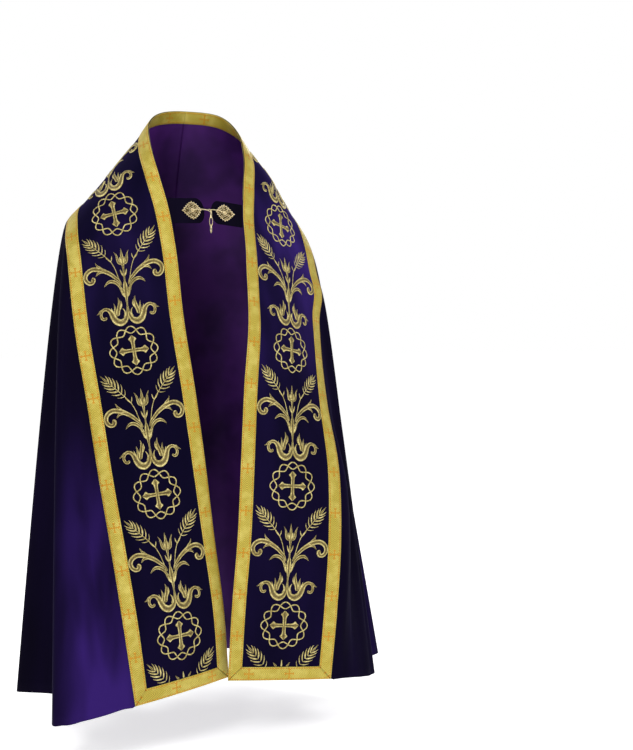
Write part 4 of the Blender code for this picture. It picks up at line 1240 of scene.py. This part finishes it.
def joined(name, parts, mats, first_painted_shade=False):
    """One mesh from several closed parts, each turned to face outward by the sign of its volume.

    With first_painted_shade, the first part takes the second material; in the filigree that is the painted
    shade of its plate.
    """
    verts, faces, base = [], [], 0
    for v, f in parts:
        p, q, r, w = (v[f[:, k]] - v.mean(0) for k in range(4))
        volume = (p * np.cross(q, r)).sum() + (p * np.cross(r, w)).sum()
        verts.append(v)
        faces.append((f if volume > 0 else f[:, ::-1]) + base)
        base += len(v)
    obj = new_object(name, np.concatenate(verts), np.concatenate(faces))
    for mat in mats:
        obj.data.materials.append(mat)
    index = np.zeros(sum(len(f) for f in faces), np.int32)
    if first_painted_shade:
        index[:len(faces[0])] = 1
    obj.data.polygons.foreach_set("material_index", index)
    return obj


def shell_part(outer, inner):
    """Points and quads of a closed shell between two grids of points."""
    r, c = outer.shape[:2]
    return np.concatenate([outer.reshape(-1, 3), inner.reshape(-1, 3)]), np.concatenate(shell_faces(r, c))


def filigree(side, frame, length):
    """Cast filigree lozenge: scalloped wire rim, leaf scrolls in rings round a rosette, all over a plate that
    carries painted shade.

    The rim is r = lozenge * (0.96 + 0.04 cos 20a) with a longer point towards the tab's root.
    """
    root, along, up, out = frame[:4]
    centre = root + along * (length - PLATE_BACK[side])

    def at(x, y, z):
        """Points at x along the tab, y up and z outward from the plate's centre."""
        x, y, z = (np.asarray(k)[..., None] for k in (x, y, z))
        return centre + x * along + y * up + z * out

    def rim(a):
        """Distance of the rim from the centre at angle a."""
        lozenge = (np.abs(np.cos(a)) ** 1.4 + np.abs(np.sin(a)) ** 1.4) ** (-1 / 1.4)
        tip = 1 + 0.18 * np.exp(-((np.mod(a, 2 * np.pi) - np.pi) / 0.25) ** 2)
        return (PLATE_R - 0.0008) * lozenge * (0.96 + 0.04 * np.cos(20 * a)) * tip

    a = 2 * np.pi * np.arange(160) / 160
    w = np.linspace(0.02, 1.0, 9)[:, None]
    full = np.linspace(0, 2 * np.pi, 161)[None, :]
    rr = rim(full) * w
    high = 0.0008 + 0.0007 * (1 - w**2) + 0 * full
    x, y = rr * np.cos(full), rr * np.sin(full)
    # The plate, in the painted shade material.
    parts = [shell_part(at(x, y, high), at(x, y, 0.0003 + 0 * high))]
    parts.append(tube(at(rim(a) * np.cos(a), rim(a) * np.sin(a), np.full(160, 0.0014)), 0.0011, 8))
    for ring, count, share, size in ((0, 16, 0.77, 0.0024), (1, 10, 0.47, 0.0027)):
        for k in range(count):
            m = 2 * np.pi * (k + 0.5 * ring) / count
            r = float(rim(np.array(m))) * share
            t = np.linspace(0, 1, 16)
            hand = 1 if k % 2 else -1
            turn = m + hand * (4.6 * t + 0.5)
            rad = size * (1 - 0.62 * t)
            x, y = r * math.cos(m) + rad * np.cos(turn), r * math.sin(m) + rad * np.sin(turn)
            scroll = at(x, y, 0.0020 + 0.0005 * ring + 0.0003 * np.sin(np.pi * t))
            parts.append(capped(scroll, 0.00055 * (1 - 0.3 * t), 6))
            parts.append(bead(at(r * math.cos(m), r * math.sin(m), 0.0021 + 0.0004 * ring), 0.0008, 0.9,
                              (along, up, out), 6, 10))
    for k in range(20):
        m = 2 * np.pi * k / 20
        r = float(rim(np.array(m))) * 1.05
        parts.append(bead(at(r * math.cos(m), r * math.sin(m), 0.0013), 0.0015, 0.9, (along, up, out), 6, 10))
    for k in range(8):
        m = 2 * np.pi * (k + 0.5) / 8
        petal = at(0.0044 * math.cos(m), 0.0044 * math.sin(m), 0.0026)
        parts.append(bead(petal, 0.0017, 0.6, (along, up, out)))
    parts.append(bead(at(0.0, 0.0, 0.0031), 0.0026, 0.7, (along, up, out), 10, 16))
    obj = joined("clasp_filigree_" + side, parts, [MAT_METAL, MAT_FILIGREE_PAINTED_SHADE], True)
    return settle(obj, "clasp_plate_" + side)


def oval(centre, u, v, long_half, short_half):
    """Closed line centre + long_half cos(a) u + short_half sin(a) v."""
    a = 2 * np.pi * np.arange(72) / 72
    return centre + long_half * np.cos(a)[:, None] * u + short_half * np.sin(a)[:, None] * v


def bent(points, count):
    """Smooth line through a few points, by chord length."""
    points = np.asarray(points, float)
    t = np.concatenate([[0], np.cumsum(np.linalg.norm(np.diff(points, axis=0), axis=1))])
    return smooth_rows(np.column_stack([t, points]), np.linspace(0, t[-1], count))


def build_morse():
    """Two tabs with their plates, the hook and eye between them, and the three links of the chain.

    A tab is a strip whose end is drawn in as a half ellipse; it starts along the slope of the band's
    edge, and its surface falls off at its sides and its end as the sixth power of the way there.
    """
    frames = morse_frames()
    made = []
    place_of = {}
    for side, frame in frames.items():
        root, along, up, out, mid, slope = frame
        length = float(np.linalg.norm(mid - root)) - TAB_SHORT[side]
        place_of[side] = root + along * (length - PLATE_BACK[side])
        h = TAB_H / 2
        u = np.sin(np.linspace(0, np.pi / 2, 61))[:, None]
        b = np.sin(np.linspace(-1, 1, 33) * np.pi / 2)[None, :]
        over = np.clip((u * length - (length - 0.62 * h)) / (0.62 * h), 0, 1)
        y = h * np.sqrt(np.maximum(1 - over**2, 1e-4)) * b
        start = 0.0020 + slope * y
        x = start + (length - start) * u
        z = -0.0008 * np.abs(b) ** 6 - 0.0008 * over**6
        x, y, z = np.broadcast_arrays(x, y, z)
        place = root + x[..., None] * along + y[..., None] * up
        obj = shell("morse_velvet_tab_" + side, place + z[..., None] * out, place - VELVET * out,
                    np.stack([x, y], -1), [MAT_TAB])
        made.append(settle(obj, "morse_tab_" + side))
        made.append(filigree(side, frame, length))
    mid = frames["left"][4]
    out_mid = unit(frames["left"][3] + frames["right"][3])
    level = unit(frames["left"][0] - frames["right"][0])
    level = unit(level - out_mid * np.dot(level, out_mid))
    rise = np.cross(out_mid, level)
    rise = rise * (1 if rise[2] > 0 else -1)
    centre = mid + out_mid * (PLATE_T + 0.0046) + level * 0.0045
    hang = centre + level * 0.0043 - rise * 0.0044
    eye = hang + rise * 0.0026 - level * 0.0030
    parts = [tube(oval(eye, level, rise, 0.0034, 0.0026), 0.0008, 12)]
    start = place_of["right"] + frames["right"][3] * 0.0024
    parts.append(capped(bent([start, start + level * 0.010 + out_mid * 0.0022 + rise * 0.0022,
                              eye - level * 0.011 + rise * 0.001, eye - level * 0.0036], 26), 0.0013, 10))
    start = place_of["left"] + frames["left"][3] * 0.0024
    parts.append(capped(bent([start, start - level * 0.010 + out_mid * 0.0020 + rise * 0.0024,
                              hang + level * 0.009 + rise * 0.0052, hang + level * 0.0026 + rise * 0.0050,
                              hang - level * 0.0018 + rise * 0.0030 + out_mid * 0.0012,
                              hang - level * 0.0010 + rise * 0.0002,
                              hang + level * 0.0022 + rise * 0.0006], 44), 0.0011, 10))
    settle(joined("clasp_hook_and_eye", parts, [MAT_METAL]), "clasp_link")
    down = np.array((0.0, 0.0, -1.0))
    flat = unit(np.array((level[0], level[1], 0.0)))
    ahead = np.cross(flat, down)
    ahead = ahead * (1 if np.dot(ahead, out_mid) > 0 else -1)
    top = hang + down * (0.0095 - 0.0030)
    for name, node, path in (
            ("clasp_chain_loop", "chain_loop", oval(top, down, ahead, 0.0095, 0.0034)),
            ("clasp_chain_ring", "chain_ring", oval(top + down * 0.0185, down, flat, 0.0115, 0.0040)),
            ("clasp_chain_drop", "chain_drop", oval(top + down * 0.0370, down, ahead, 0.0100, 0.0036))):
        settle(joined(name, [tube(path, 0.0010, 12)], [MAT_METAL]), node, CHAIN)
    return made


body = build_body()
bands = build_bands()
galloons = build_galloons()
hood = build_hood()
hood_braids = build_hood_braids()
strands, header = build_fringe()
stitched = build_embroidery()
morse = build_morse()
